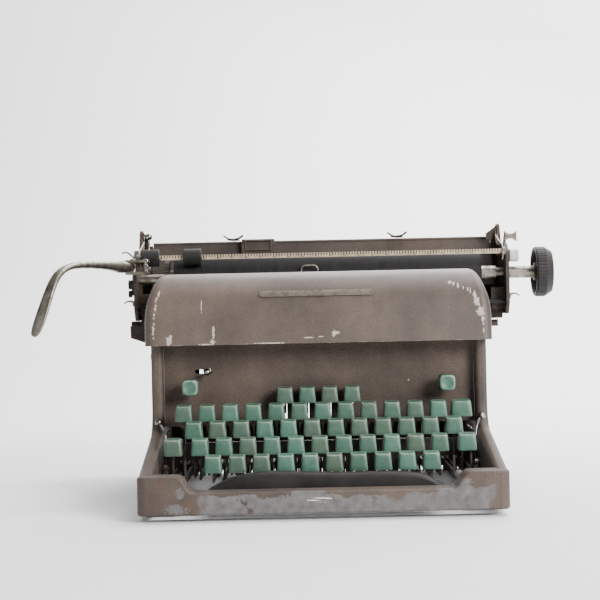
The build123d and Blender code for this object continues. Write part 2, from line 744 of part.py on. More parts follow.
with BuildPart() as bail_scale:
    # Round rail with the flat scale strip on its front.
    with BuildSketch(ACROSS.offset(CARRIAGE_L + 2.9)):
        with Locations((BAIL_Y, BAIL_Z)):
            Circle(PIN_R)
    extrude(amount=CARRIAGE_R - CARRIAGE_L - 5.8)
    for x0, x1 in ((CARRIAGE_L + 22.3, CARRIAGE_L + 42.7), (CARRIAGE_L + 59.7, CARRIAGE_R - 6)):
        with Locations(((x0 + x1) / 2, BAIL_Y - 2, BAIL_Z)):
            Box(x1 - x0, 1.2, 4.2)

with BuildPart() as bail_arms:
    tilt = math.degrees(math.atan2(BAIL_PIVOT_Z - BAIL_Z, BAIL_PIVOT_Y - BAIL_Y))
    for x in (CARRIAGE_L + 0.8, CARRIAGE_R - 2.8):
        with BuildSketch(ACROSS.offset(x)):
            with Locations(((BAIL_Y + BAIL_PIVOT_Y) / 2, (BAIL_Z + BAIL_PIVOT_Z) / 2)):
                SlotOverall(BAIL_PIVOT_Y - BAIL_Y + 8, 7, rotation=tilt)
            with Locations((BAIL_PIVOT_Y, BAIL_PIVOT_Z), (BAIL_Y, BAIL_Z)):
                Circle(PIN_R + RUN, mode=Mode.SUBTRACT)
        extrude(amount=2)

for name, x in (("left", CARRIAGE_L + 5.2), ("right", CARRIAGE_L + 43.2)):
    with BuildPart() as bail_roller:
        with BuildSketch(ACROSS.offset(x)):
            with Locations((BAIL_Y, BAIL_Z)):
                Circle(BAIL_ROLL_R)
                Circle(PIN_R + RUN, mode=Mode.SUBTRACT)
        extrude(amount=16)
        fillet(bail_roller.edges().filter_by(GeomType.CIRCLE).sort_by(SortBy.RADIUS)[-2:], radius=0.8)
    bail_roller.part.label = "bail_roller_" + name
    if name == "left":
        bail_roller_left = bail_roller
    else:
        bail_roller_right = bail_roller

# ---- Hand controls on the carriage ----

with BuildPart() as return_lever:
    # Long tapered arm, bent down at the end into a finger paddle.
    flat = (0.88, -0.46, 0)
    tilted = (0.85, -0.45, -0.15)
    stations = (
        ((-164.5, 211, 198), (-0.46, -0.88, 0), flat, 4.6, 3.4),
        ((-168.9, 202.7, 198), (-0.46, -0.88, 0), flat, 4.8, 3.6),
        ((-171.6, 197.5, 198), (-0.46, -0.88, 0.03), flat, 5.0, 5.4),
        ((-177, 187, 198.8), (-0.46, -0.88, 0.06), flat, 4.2, 4.4),
        ((-189, 163, 199.6), (-0.4, -0.91, 0), flat, 3.5, 3.2),
        ((-204, 124, 198.6), (-0.32, -0.94, -0.08), flat, 3.5, 2.4),
        ((-211.5, 103, 194), (-0.35, -0.75, -0.55), tilted, 4.0, 2.3),
        ((-216.5, 93, 182), (-0.3, -0.33, -0.9), tilted, 4.6, 2.3),
        ((-222, 88, 164), (-0.3, -0.18, -0.94), tilted, 5.4, 2.2),
        ((-228, 85, 148), (-0.35, -0.15, -0.92), tilted, 5.6, 2.0),
        ((-230.5, 84, 141), (-0.35, -0.15, -0.92), tilted, 3.4, 1.4),
    )
    for (x, y, z), direction, across, half_w, half_t in stations:
        place = (LEVER_X + 163 + x, LEVER_Y - 214 + y, z)
        with BuildSketch(Plane(origin=place, x_dir=across, z_dir=direction)):
            Ellipse(half_w, half_t)
    loft(ruled=True)
    with BuildSketch(Plane.XY.offset(BRACKET_LOW + EAR_T + GAP)):
        with Locations((LEVER_X, LEVER_Y)):
            Circle(6.5)
    extrude(amount=BRACKET_TOP - BRACKET_LOW - 2 * (EAR_T + GAP))
    with BuildSketch(Plane.XY.offset(BRACKET_LOW)):
        with Locations((LEVER_X, LEVER_Y)):
            Circle(3 + RUN)
    extrude(amount=30, mode=Mode.SUBTRACT)

with BuildPart() as paper_guide:
    # Side guide that hooks over the top edge of the paper table.
    slope = (TABLE_HIGH[0] - TABLE_LOW[0]) / (TABLE_HIGH[1] - TABLE_LOW[1])
    low_y = TABLE_HIGH[0] - 22 * slope
    with BuildSketch(ACROSS.offset(-69)):
        with BuildLine():
            Polyline(
                (low_y - 2.2, 199.5),
                (TABLE_HIGH[0] - 3.2, TABLE_HIGH[1] + 3.2),
                (TABLE_HIGH[0] + 6, TABLE_HIGH[1] + 3.2),
                (TABLE_HIGH[0] + 6, TABLE_HIGH[1] - 6),
                (TABLE_HIGH[0] + 4.6, TABLE_HIGH[1] - 6),
                (TABLE_HIGH[0] + 4.6, TABLE_HIGH[1] + 2),
                (TABLE_HIGH[0] - 1.2, TABLE_HIGH[1] + 2),
                (low_y - 0.8, 199.5),
                close=True,
            )
        make_face()
    extrude(amount=31)
    with BuildSketch(Plane.YZ.offset(-69)):
        with BuildLine():
            Polyline(
                (low_y - 1.6, 199.5),
                (low_y - 4.5, 199.5),
                (TABLE_HIGH[0] - 6.2, TABLE_HIGH[1] + 3.2),
                (TABLE_HIGH[0] - 2.6, TABLE_HIGH[1] + 3.2),
                close=True,
            )
        make_face()
    extrude(amount=2)

for name, side, face in (
    ("left", -1, CARRIAGE_L - PLATE_T),
    ("right", 1, CARRIAGE_R + PLATE_T),
):
    # Finger tab that turns on a hub beside the end plate.
    with BuildPart() as carriage_release:
        with BuildSketch(ACROSS.offset(face + side * GAP)):
            with Locations((266, 166)):
                Circle(4.5)
            with Locations((254, 165.5)):
                Rectangle(24, 5)
            with Locations((266, 166)):
                Circle(PIN_R + RUN, mode=Mode.SUBTRACT)
        extrude(amount=side * 2)
        with BuildSketch(Plane.XZ.offset(-240)):
            with BuildLine():
                x0 = face + side * GAP
                ThreePointArc((x0, 164), (x0 + side * 5, 167), (x0 + side * 10, 165))
                Line((x0 + side * 10, 165), (x0 + side * 9.5, 166.4))
                ThreePointArc((x0 + side * 9.5, 166.4), (x0 + side * 5, 168.6), (x0, 167.6))
                Line((x0, 167.6), (x0, 164))
            make_face()
        extrude(amount=-8)
    carriage_release.part.label = "carriage_release_" + name
    if side < 0:
        carriage_release_left = carriage_release
    else:
        carriage_release_right = carriage_release

with BuildPart() as paper_release:
    # Lever with a waisted, knurled finger piece outside the right end plate.
    face = CARRIAGE_R + PLATE_T
    with BuildSketch(ACROSS.offset(face + GAP)):
        with BuildLine():
            Polyline((281, 195), (267, 218), (273, 221), (289, 195), close=True)
        make_face()
        with Locations((285, 195)):
            Circle(4.5)
            Circle(PIN_R + RUN, mode=Mode.SUBTRACT)
    extrude(amount=2)
    with BuildSketch(Plane.XZ.offset(-266)):
        with BuildLine():
            Line((face + 1, 216.5), (face + 1, 226))
            ThreePointArc((face + 1, 226), (face + 6.5, 223.4), (face + 12, 226))
            Line((face + 12, 226), (face + 12, 216.5))
            ThreePointArc((face + 12, 216.5), (face + 6.5, 219), (face + 1, 216.5))
        make_face()
    extrude(amount=-8)

with BuildPart() as spacer_button:
    # Push button of the variable line spacer.
    with BuildSketch(ACROSS.offset(CARRIAGE_R + 1.4)):
        with Locations((250, 203)):
            Circle(2.6)
    extrude(amount=7)
    with BuildSketch(ACROSS.offset(CARRIAGE_R + PLATE_T + 2.6)):
        with Locations((250, 203)):
            Circle(6)
    extrude(amount=8)
    fillet(spacer_button.edges().filter_by(GeomType.CIRCLE).group_by(Axis.X)[-1], radius=1)

with BuildPart() as ball_lever:
    # Platen detent release: hub, thin stem and a bright ball.
    with BuildSketch(ACROSS.offset(CARRIAGE_L + 4)):
        with Locations((287, 196)):
            Circle(4.5)
            Circle(PIN_R + RUN, mode=Mode.SUBTRACT)
    extrude(amount=4)
    with BuildSketch(Plane(origin=(CARRIAGE_L + 6, 287.2, 199.6), z_dir=(0, 0.09, 1))):
        Circle(1.2)
    extrude(amount=28)
    with Locations((CARRIAGE_L + 6, 289.7, 228.5)):
        Sphere(3.4)

with BuildPart() as line_space_selector:
    # Small double knob outside the left end plate.
    face = CARRIAGE_L - PLATE_T
    with BuildSketch(ACROSS.offset(face - GAP)):
        with Locations((244, 183)):
            Circle(4.4)
        with Locations((244, 178)):
            Rectangle(4, 10)
        with Locations((244, 183)):
            Circle(PIN_R + RUN, mode=Mode.SUBTRACT)
    extrude(amount=-2.4)
    with BuildSketch(ACROSS.offset(face - GAP - 2.4)):
        with Locations((244, 183)):
            Circle(4.2)
        with Locations((244, 174.5)):
            Circle(3.2)
        with Locations((244, 183)):
            Circle(PIN_R + RUN, mode=Mode.SUBTRACT)
    extrude(amount=-3)

# ---- Keyboard ----


def key_cap(width):
    """Tapered key cap with a dished top, its top centre at the origin."""
    with BuildPart() as cap:
        with BuildSketch(Plane.XY.offset(-CAP_H)):
            RectangleRounded(width, CAP_BASE, 1.6)
        with BuildSketch(Plane(origin=(0, 0.6, -0.6), z_dir=(0, -0.14, 1))):
            RectangleRounded(width - CAP_BASE + CAP_TOP, CAP_TOP - 1, 2)
        loft()
        with Locations((0, -2, 30.6)):
            Sphere(31.5, mode=Mode.SUBTRACT)
        # Slot for the lever's stem.
        with Locations((0, 0, -CAP_H + 3)):
            Box(LEVER_T + 0.1, 4.1, 6.1, mode=Mode.SUBTRACT)
    return cap.part


def stem_cap(width, dx):
    """Cap whose lever stands dx off its middle."""
    with BuildPart() as cap:
        add(key_cap(width))
        if dx:
            with Locations((0, 0, -CAP_H + 3)):
                Box(LEVER_T + 0.1, 4.1, 6.1)
            with Locations((dx, 0, -CAP_H + 3)):
                Box(LEVER_T + 0.1, 4.1, 6.1, mode=Mode.SUBTRACT)
    return cap.part


def key_lever(y, top, thick=LEVER_T):
    """Flat lever from a key at y to the fulcrum, with an upright stem to top."""
    with BuildPart() as lever:
        with BuildSketch(ACROSS.offset(-thick / 2)):
            with BuildLine():
                Polyline(
                    (y - 2, top),
                    (y - 2, FULCRUM_Z - 1),
                    (y, FULCRUM_Z - LEVER_H / 2),
                    (FULCRUM_Y - 6, FULCRUM_Z - LEVER_H / 2),
                    (FULCRUM_Y - 6, FULCRUM_Z + LEVER_H / 2),
                    (y + 3.5, FULCRUM_Z + LEVER_H / 2),
                    (y + 2, FULCRUM_Z + LEVER_H / 2 + 1.5),
                    (y + 2, top),
                    close=True,
                )
            make_face()
            with Locations((FULCRUM_Y, FULCRUM_Z)):
                Circle(7)
                Circle(FULCRUM_R + RUN, mode=Mode.SUBTRACT)
        extrude(amount=thick)
    return lever.part


CAP = key_cap(CAP_BASE)
caps = {}
levers = {}
for row, y, top, xs in ROWS:
    with BuildPart() as row_caps:
        for x in xs:
            with Locations((x, y, top)):
                add(CAP)
        if row == "1":
            with Locations((xs[-1] + 19.07, y, top)):
                add(key_cap(WIDE_CAP))
            xs = xs + [xs[-1] + 19.07]
    row_caps.part.label = "key_caps_row_" + row
    caps[row] = row_caps
    with BuildPart() as row_levers:
        stem = key_lever(y, top - CAP_H + 6)
        for x in xs:
            with Locations((x, 0, 0)):
                add(stem)
    row_levers.part.label = "key_levers_row_" + row
    levers[row] = row_levers

with BuildPart() as lock_key:
    # Shift lock: a wider cap on its own lever.
    with Locations((LOCK_X, 73, 57)):
        add(key_cap(END_CAP))
    with Locations((LOCK_X, 0, 0)):
        add(key_lever(73, 57 - CAP_H + 6))

with BuildPart() as right_key:
    # Wider key at the right end of the third row, its lever set outwards.
    with Locations((RIGHT_X, 73, 57)):
        add(stem_cap(END_CAP, RIGHT_LEVER_X - RIGHT_X))
    with Locations((RIGHT_LEVER_X, 0, 0)):
        add(key_lever(73, 57 - CAP_H + 6))

with BuildPart() as shift_levers:
    # Bare levers of the two shift keys, joined by the fulcrum tube's web.
    for x in SHIFT_XS:
        with Locations((x, 0, 0)):
            add(key_lever(54, 41, LEVER_T + 0.2))

with BuildPart() as tab_keys:
    # Four caps on flat plungers that pass through the front panel.
    for x in TAB_XS:
        with Locations((x, TAB_Y, TAB_Z)):
            add(CAP)
        with BuildSketch(ACROSS.offset(x - LEVER_T / 2)):
            with BuildLine():
                Polyline(
                    (TAB_Y - 2, TAB_Z - CAP_H + 6),
                    (TAB_Y - 2, 74),
                    (TAB_Y, 71),
                    (170, 71),
                    (170, 77),
                    (TAB_Y + 5, 77),
                    (TAB_Y + 2, 80),
                    (TAB_Y + 2, TAB_Z - CAP_H + 6),
                    close=True,
                )
            make_face()
        extrude(amount=LEVER_T)

with BuildPart() as space_bar:
    # Long bar with ends that curve down, and two arms back to the fulcrum.
    with BuildSketch(Plane.XZ.offset(-SPACE_Y + 7)):
        with BuildLine():
            Line((95, SPACE_Z), (-90, SPACE_Z))
            Spline(
                [
                    (-90, SPACE_Z),
                    (-66, SPACE_Z + 11),
                    (2.5, SPACE_Z + 12.6),
                    (71, SPACE_Z + 11),
                    (95, SPACE_Z),
                ],
                tangents=[(1, 0.75), (1, -0.75)],
            )
        make_face()
    extrude(amount=-14)
    top = space_bar.faces().sort_by(Axis.Z)[-1]
    fillet(top.edges().filter_by(lambda e: e.length > 60), radius=3)

with BuildPart() as space_arms:
    for x in SPACE_ARM_XS:
        with BuildSketch(ACROSS.offset(x - 0.8)):
            with BuildLine():
                Polyline(
                    (SPACE_Y - 4, SPACE_Z),
                    (SPACE_Y - 4, 10.5),
                    (SPACE_Y, 10),
                    (FULCRUM_Y - 6, FULCRUM_Z - 3),
                    (FULCRUM_Y - 6, FULCRUM_Z + 3),
                    (SPACE_Y + 6, 16),
                    (SPACE_Y + 4, SPACE_Z),
                    close=True,
                )
            make_face()
            with Locations((FULCRUM_Y, FULCRUM_Z)):
                Circle(7)
                Circle(FULCRUM_R + RUN, mode=Mode.SUBTRACT)
        extrude(amount=1.6)

with BuildPart() as lever_comb:
    # Guide comb under the front panel, its slots open downwards.
    with Locations((0, COMB_Y + COMB_T / 2, 32)):
        Box(2 * INNER_HALF, COMB_T, 28)
    slots = [x for row in ROWS for x in row[3]] + list(SHIFT_XS) + list(SPACE_ARM_XS)
    slots += [ROWS[3][3][-1] + 19.07, LOCK_X, RIGHT_LEVER_X]
    with BuildSketch(Plane.XZ.offset(-COMB_Y)):
        with Locations(*[(x, 24) for x in slots]):
            Rectangle(1.85, 15)
    extrude(amount=-COMB_T, mode=Mode.SUBTRACT)

with BuildPart() as fulcrum_rod:
    with BuildSketch(ACROSS.offset(-INNER_HALF)):
        with Locations((FULCRUM_Y, FULCRUM_Z)):
            Circle(FULCRUM_R)
    extrude(amount=2 * INNER_HALF)

for name, x, side in (("left", -108.0, -1), ("right", 106.6, 1)):
    # Panel key: square cap facing the typist on a stem through the panel.
    with BuildPart() as margin_key:
        with BuildSketch(Plane.XZ.offset(-PANEL_Y + 10)):
            with Locations((x, 94.5)):
                RectangleRounded(14, 14, 3)
        with BuildSketch(Plane.XZ.offset(-PANEL_Y + 21)):
            with Locations((x, 94.5)):
                RectangleRounded(12.6, 12.6, 3.6)
        loft()
        fillet(margin_key.faces().sort_by(Axis.Y)[0].edges(), radius=1)
        with Locations((x, PANEL_Y - 51.6, 94.5)):
            Sphere(31.5, mode=Mode.SUBTRACT)
        with Locations((x, PANEL_Y + 5, 94.5)):
            Box(4.4, 30.4, 4.4)
    margin_key.part.label = "margin_key_" + name
    if side < 0:
        margin_key_left = margin_key
    else:
        margin_key_right = margin_key

with BuildPart() as ribbon_selector:
    # Flat arm through the panel's slot with a bright ball on its end.
    with Locations((-94, RIBBON_Y - 20, 107)):
        Box(3, 44, 1.6)
    with Locations((-94, RIBBON_Y, 107)):
        Cylinder(6, 1.6)
    with Locations((-94, RIBBON_Y, 107)):
        Cylinder(PIN_R + RUN, 10, mode=Mode.SUBTRACT)
    with Locations((-94, RIBBON_Y - 44, 107)):
        Sphere(2.9)

for name, side in (("left", -1), ("right", 1)):
    # Side lever: hub on a stud, curved wire and a ball over the arm.
    with BuildPart() as touch_lever:
        with BuildLine():
            wire = Spline(
                [
                    (side * (INNER_HALF - 2.8), 112, 30),
                    (side * (INNER_HALF - 2.8), 112, 52),
                    (side * (INNER_HALF - 0.6), 116, 61),
                    (side * (INNER_HALF + 3.2), 120, 66),
                ],
                tangents=[(0, 0, 1), (side * 0.7, 0.5, 0.6)],
            )
        with BuildSketch(Plane(origin=wire @ 0, z_dir=wire % 0)):
            Circle(1.1)
        sweep()
        with BuildSketch(ACROSS.offset(side * (INNER_HALF - 4))):
            with Locations((112, 28)):
                Circle(4.5)
        extrude(amount=side * 3)
        with BuildSketch(ACROSS.offset(side * (INNER_HALF - 7))):
            with Locations((112, 28)):
                Circle(PIN_R + RUN)
        extrude(amount=side * 8, mode=Mode.SUBTRACT)
        with Locations((side * (INNER_HALF + 3.4), 120, 66.3)):
            Sphere(3.1)
    touch_lever.part.label = "touch_lever_" + name
    if side < 0:
        touch_lever_left = touch_lever
    else:
        touch_lever_right = touch_lever

# ---- Names, common origin and files ----

pieces = {
    "base_frame": base_frame,
    "side_plate_left": side_plate_left,
    "side_plate_right": side_plate_right,
    "front_panel": front_panel,
    "rear_panel": rear_panel,
    "rubber_feet": rubber_feet,
    "case_screws": case_screws,
    "carriage_rails": carriage_rails,
    "type_segment": type_segment,
    "type_bars": type_bars,
    "type_guide": type_guide,
    "ribbon_spool_left": ribbon_spool_left,
    "ribbon_spool_right": ribbon_spool_right,
    "hood": hood,
    "hood_badge": hood_badge,
    "carriage_bed": carriage_bed,
    "end_plate_left": end_plate_left,
    "end_plate_right": end_plate_right,
    "paper_table": paper_table,
    "page_clips": page_clips,
    "margin_rack": margin_rack,
    "lever_bracket": lever_bracket,
    "platen_roller": platen_roller,
    "platen_shaft": platen_shaft,
    "platen_knob": platen_knob,
    "platen_ratchet": platen_ratchet,
    "feed_rollers": feed_rollers,
    "bail_scale": bail_scale,
    "bail_arms": bail_arms,
    "bail_roller_left": bail_roller_left,
    "bail_roller_right": bail_roller_right,
    "return_lever": return_lever,
    "paper_guide": paper_guide,
    "carriage_release_left": carriage_release_left,
    "carriage_release_right": carriage_release_right,
    "paper_release": paper_release,
    "spacer_button": spacer_button,
    "ball_lever": ball_lever,
    "line_space_selector": line_space_selector,
    "key_caps_row_1": caps["1"],
    "key_caps_row_2": caps["2"],
    "key_caps_row_3": caps["3"],
    "key_caps_row_4": caps["4"],
    "key_levers_row_1": levers["1"],
    "key_levers_row_2": levers["2"],
    "key_levers_row_3": levers["3"],
    "key_levers_row_4": levers["4"],
    "lock_key": lock_key,
    "right_key": right_key,
    "shift_levers": shift_levers,
    "tab_keys": tab_keys,
    "space_bar": space_bar,
    "space_arms": space_arms,
    "lever_comb": lever_comb,
    "fulcrum_rod": fulcrum_rod,
    "margin_key_left": margin_key_left,
    "margin_key_right": margin_key_right,
    "ribbon_selector": ribbon_selector,
    "touch_lever_left": touch_lever_left,
    "touch_lever_right": touch_lever_right,
}
boxes = [piece.part.bounding_box() for piece in pieces.values()]
low_x = min(box.min.X for box in boxes)
high_x = max(box.max.X for box in boxes)
low_y = min(box.min.Y for box in boxes)
high_y = max(box.max.Y for box in boxes)
low_z = min(box.min.Z for box in boxes)
ORIGIN = (-(low_x + high_x) / 2, -(low_y + high_y) / 2, -low_z)
shift = Location(ORIGIN)
for name, piece in pieces.items():
    placed = piece.part.moved(shift)
    placed.label = name
    export_step(placed, "parts/" + name + ".step")
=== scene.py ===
import math
import random

import bmesh
import bpy
from mathutils import Matrix, Vector


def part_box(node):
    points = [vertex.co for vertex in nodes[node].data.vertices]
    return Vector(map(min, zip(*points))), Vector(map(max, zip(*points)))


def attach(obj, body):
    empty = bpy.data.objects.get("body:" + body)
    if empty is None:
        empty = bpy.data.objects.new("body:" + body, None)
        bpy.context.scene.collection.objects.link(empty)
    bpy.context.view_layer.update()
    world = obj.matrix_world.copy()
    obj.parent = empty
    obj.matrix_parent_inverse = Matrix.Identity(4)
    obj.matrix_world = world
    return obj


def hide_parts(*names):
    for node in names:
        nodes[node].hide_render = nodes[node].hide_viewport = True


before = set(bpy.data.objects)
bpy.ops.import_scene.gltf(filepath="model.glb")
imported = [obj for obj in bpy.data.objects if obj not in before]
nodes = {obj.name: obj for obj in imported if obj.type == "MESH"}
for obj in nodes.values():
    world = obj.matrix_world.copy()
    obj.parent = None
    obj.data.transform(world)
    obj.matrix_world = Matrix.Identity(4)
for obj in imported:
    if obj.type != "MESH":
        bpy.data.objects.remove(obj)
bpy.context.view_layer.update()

# ---- Cast frame and covers ----
# The frame is one casting: front bar, arms, columns and side walls. Flat sheet covers are screwed
# to its sides and back, and a sloping panel stands behind the keys. All of it is sprayed with
# crinkle enamel and baked, and the front bar is worn to primer by hands.

MM = 0.001
body_x = (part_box("base_frame")[0][0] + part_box("base_frame")[1][0]) / 2
front_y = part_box("base_frame")[0][1]


def linear(code):
    """sRGB hex code to the linear colour that shaders take."""
    parts = [int(code[i : i + 2], 16) / 255 for i in (1, 3, 5)]
    return tuple(c / 12.92 if c <= 0.04045 else ((c + 0.055) / 1.055) ** 2.4 for c in parts) + (1.0,)


def add(tree, kind, inputs=(), stops=(), **props):
    """One shader node: props are its settings, inputs are values or the sockets that feed it."""
    node = tree.nodes.new("ShaderNode" + kind)
    for key, value in props.items():
        setattr(node, key, value)
    for key, value in dict(inputs).items():
        if isinstance(value, bpy.types.NodeSocket):
            tree.links.new(value, node.inputs[key])
        else:
            node.inputs[key].default_value = linear(value) if isinstance(value, str) else value
    if stops:
        ramp = node.color_ramp.elements
        while len(ramp) < len(stops):
            ramp.new(0.5)
        for element, (position, colour) in zip(ramp, stops):
            element.position = position
            element.color = linear(colour) if isinstance(colour, str) else (colour, colour, colour, 1)
    return node


def new_material(name):
    """Material with its tree, its surface shader and its object coordinates."""
    made = bpy.data.materials.new(name)
    made.use_nodes = True
    tree = made.node_tree
    tree.nodes.clear()
    shader = add(tree, "BsdfPrincipled")
    output = add(tree, "OutputMaterial")
    tree.links.new(shader.outputs[0], output.inputs[0])
    return made, tree, shader, add(tree, "TexCoord").outputs["Object"]


def dress(material, *names):
    """Puts the material on every slot of these CAD nodes."""
    for name in names:
        data = nodes[name].data
        data.materials.clear()
        data.materials.append(material)


def scars(tree, at, places):
    """Mask of ragged chips: places are (x, z, half width, half height) in millimetres."""
    rag = add(tree, "TexNoise", {"Vector": at, "Scale": 620, "Detail": 5, "Roughness": 0.7})
    push = add(
        tree,
        "MapRange",
        {"Value": rag.outputs[0], "From Min": 0.3, "From Max": 0.7, "To Min": 0.75, "To Max": -0.45},
    )
    nearest = None
    for x, z, w, h in places:
        shift = (-(body_x / MM + x) / w, 0, -z / h)
        local = add(
            tree,
            "VectorMath",
            {0: at, 1: (1 / (w * MM), 0, 1 / (h * MM)), 2: shift},
            operation="MULTIPLY_ADD",
        )
        far = add(tree, "VectorMath", {0: local.outputs[0]}, operation="LENGTH").outputs["Value"]
        nearest = add(
            tree, "Math", {0: far, 1: nearest}, operation="MINIMUM"
        ).outputs[0] if nearest else far
    torn = add(tree, "Math", {0: nearest, 1: push.outputs[0]}, operation="ADD")
    facing = add(tree, "SeparateXYZ", {0: add(tree, "NewGeometry").outputs["Normal"]}).outputs["Y"]
    front = add(tree, "MapRange", {"Value": facing, "From Min": 0.3, "From Max": -0.1})
    shown = add(tree, "MapRange", {"Value": torn.outputs[0], "From Min": 1.05, "From Max": 0.9})
    return add(tree, "Math", {0: shown.outputs[0], 1: front.outputs[0]}, operation="MULTIPLY").outputs[0]


def crinkle_paint(name, light="#53463d", dark="#3a3029", gloss=0.0, special=None, places=(), dusty=0.12):
    """Baked crinkle enamel: wrinkled grain, brown mottling, dust above, metal on worn edges."""
    made, tree, shader, at = new_material(name)
    blotch = add(tree, "TexNoise", {"Vector": at, "Scale": 16, "Detail": 5, "Roughness": 0.6})
    tone = add(tree, "ValToRGB", {"Fac": blotch.outputs[0]}, stops=[(0.34, dark), (0.66, light)])
    # Vertical streaks where grime has run down.
    drawn = add(tree, "Mapping", {"Vector": at, "Scale": (90, 90, 7)})
    streak = add(tree, "TexNoise", {"Vector": drawn.outputs[0], "Scale": 1, "Detail": 3})
    streaks = add(tree, "ValToRGB", {"Fac": streak.outputs[0]}, stops=[(0.35, 0.8), (0.62, 1.0)])
    base = add(
        tree,
        "MixRGB",
        {"Fac": 0.5, "Color1": tone.outputs[0], "Color2": streaks.outputs[0]},
        blend_type="MULTIPLY",
    )
    # Wrinkle grain: pits hold dirt, ridges are rubbed lighter.
    grain = add(tree, "TexNoise", {"Vector": at, "Scale": 950, "Detail": 3, "Roughness": 0.55})
    pits = add(tree, "ValToRGB", {"Fac": grain.outputs[0]}, stops=[(0.38, 0.45), (0.6, 1.2)])
    fac = 0.6 - 0.35 * gloss
    grained = add(
        tree,
        "MixRGB",
        {"Fac": fac, "Color1": base.outputs[0], "Color2": pits.outputs[0]},
        blend_type="MULTIPLY",
    )
    colour = grained.outputs[0]
    if special:
        colour = special(tree, at, colour)
    # Worn edges: the rounded normal differs from the true one only at a corner.
    normal = add(tree, "NewGeometry").outputs["Normal"]
    soft = add(tree, "Bevel", {"Radius": 0.0011}, samples=6).outputs[0]
    same = add(tree, "VectorMath", {0: normal, 1: soft}, operation="DOT_PRODUCT").outputs["Value"]
    corner = add(tree, "MapRange", {"Value": same, "From Min": 0.985, "From Max": 0.86})
    patchy = add(tree, "TexNoise", {"Vector": at, "Scale": 70, "Detail": 6, "Roughness": 0.7})
    broken = add(
        tree, "MapRange", {"Value": patchy.outputs[0], "From Min": 0.52, "From Max": 0.62, "To Max": 0.75}
    )
    worn = add(tree, "Math", {0: corner.outputs[0], 1: broken.outputs[0]}, operation="MULTIPLY")
    colour = add(tree, "MixRGB", {"Fac": worn.outputs[0], "Color1": colour, "Color2": "#8f8880"}).outputs[0]
    if places:
        # Pale chips where the enamel is knocked off down to the filler.
        chip = scars(tree, at, places)
        colour = add(tree, "MixRGB", {"Fac": chip, "Color1": colour, "Color2": "#a39b92"}).outputs[0]
    # Dust settles on what faces up.
    up = add(tree, "SeparateXYZ", {0: normal}).outputs["Z"]
    lying = add(tree, "MapRange", {"Value": up, "From Min": 0.35, "From Max": 1.0, "To Max": dusty})
    dust = add(tree, "Math", {0: lying.outputs[0], 1: blotch.outputs[0]}, operation="MULTIPLY")
    dusted = add(tree, "MixRGB", {"Fac": dust.outputs[0], "Color1": colour, "Color2": "#6f655c"})
    tree.links.new(dusted.outputs[0], shader.inputs["Base Color"])
    bump = add(
        tree, "Bump", {"Height": grain.outputs[0], "Strength": 0.6 - 0.4 * gloss, "Distance": 0.0004}
    )
    dents = add(
        tree,
        "Bump",
        {"Height": blotch.outputs[0], "Strength": 0.12, "Distance": 0.002, "Normal": bump.outputs[0]},
    )
    tree.links.new(dents.outputs[0], shader.inputs["Normal"])
    rough = 0.62 - 0.18 * gloss
    sheen = add(
        tree, "MapRange", {"Value": patchy.outputs[0], "To Min": rough - 0.09, "To Max": rough + 0.12}
    )
    tree.links.new(sheen.outputs[0], shader.inputs["Roughness"])
    shader.inputs["Specular IOR Level"].default_value = 0.3 + 0.25 * gloss
    return made


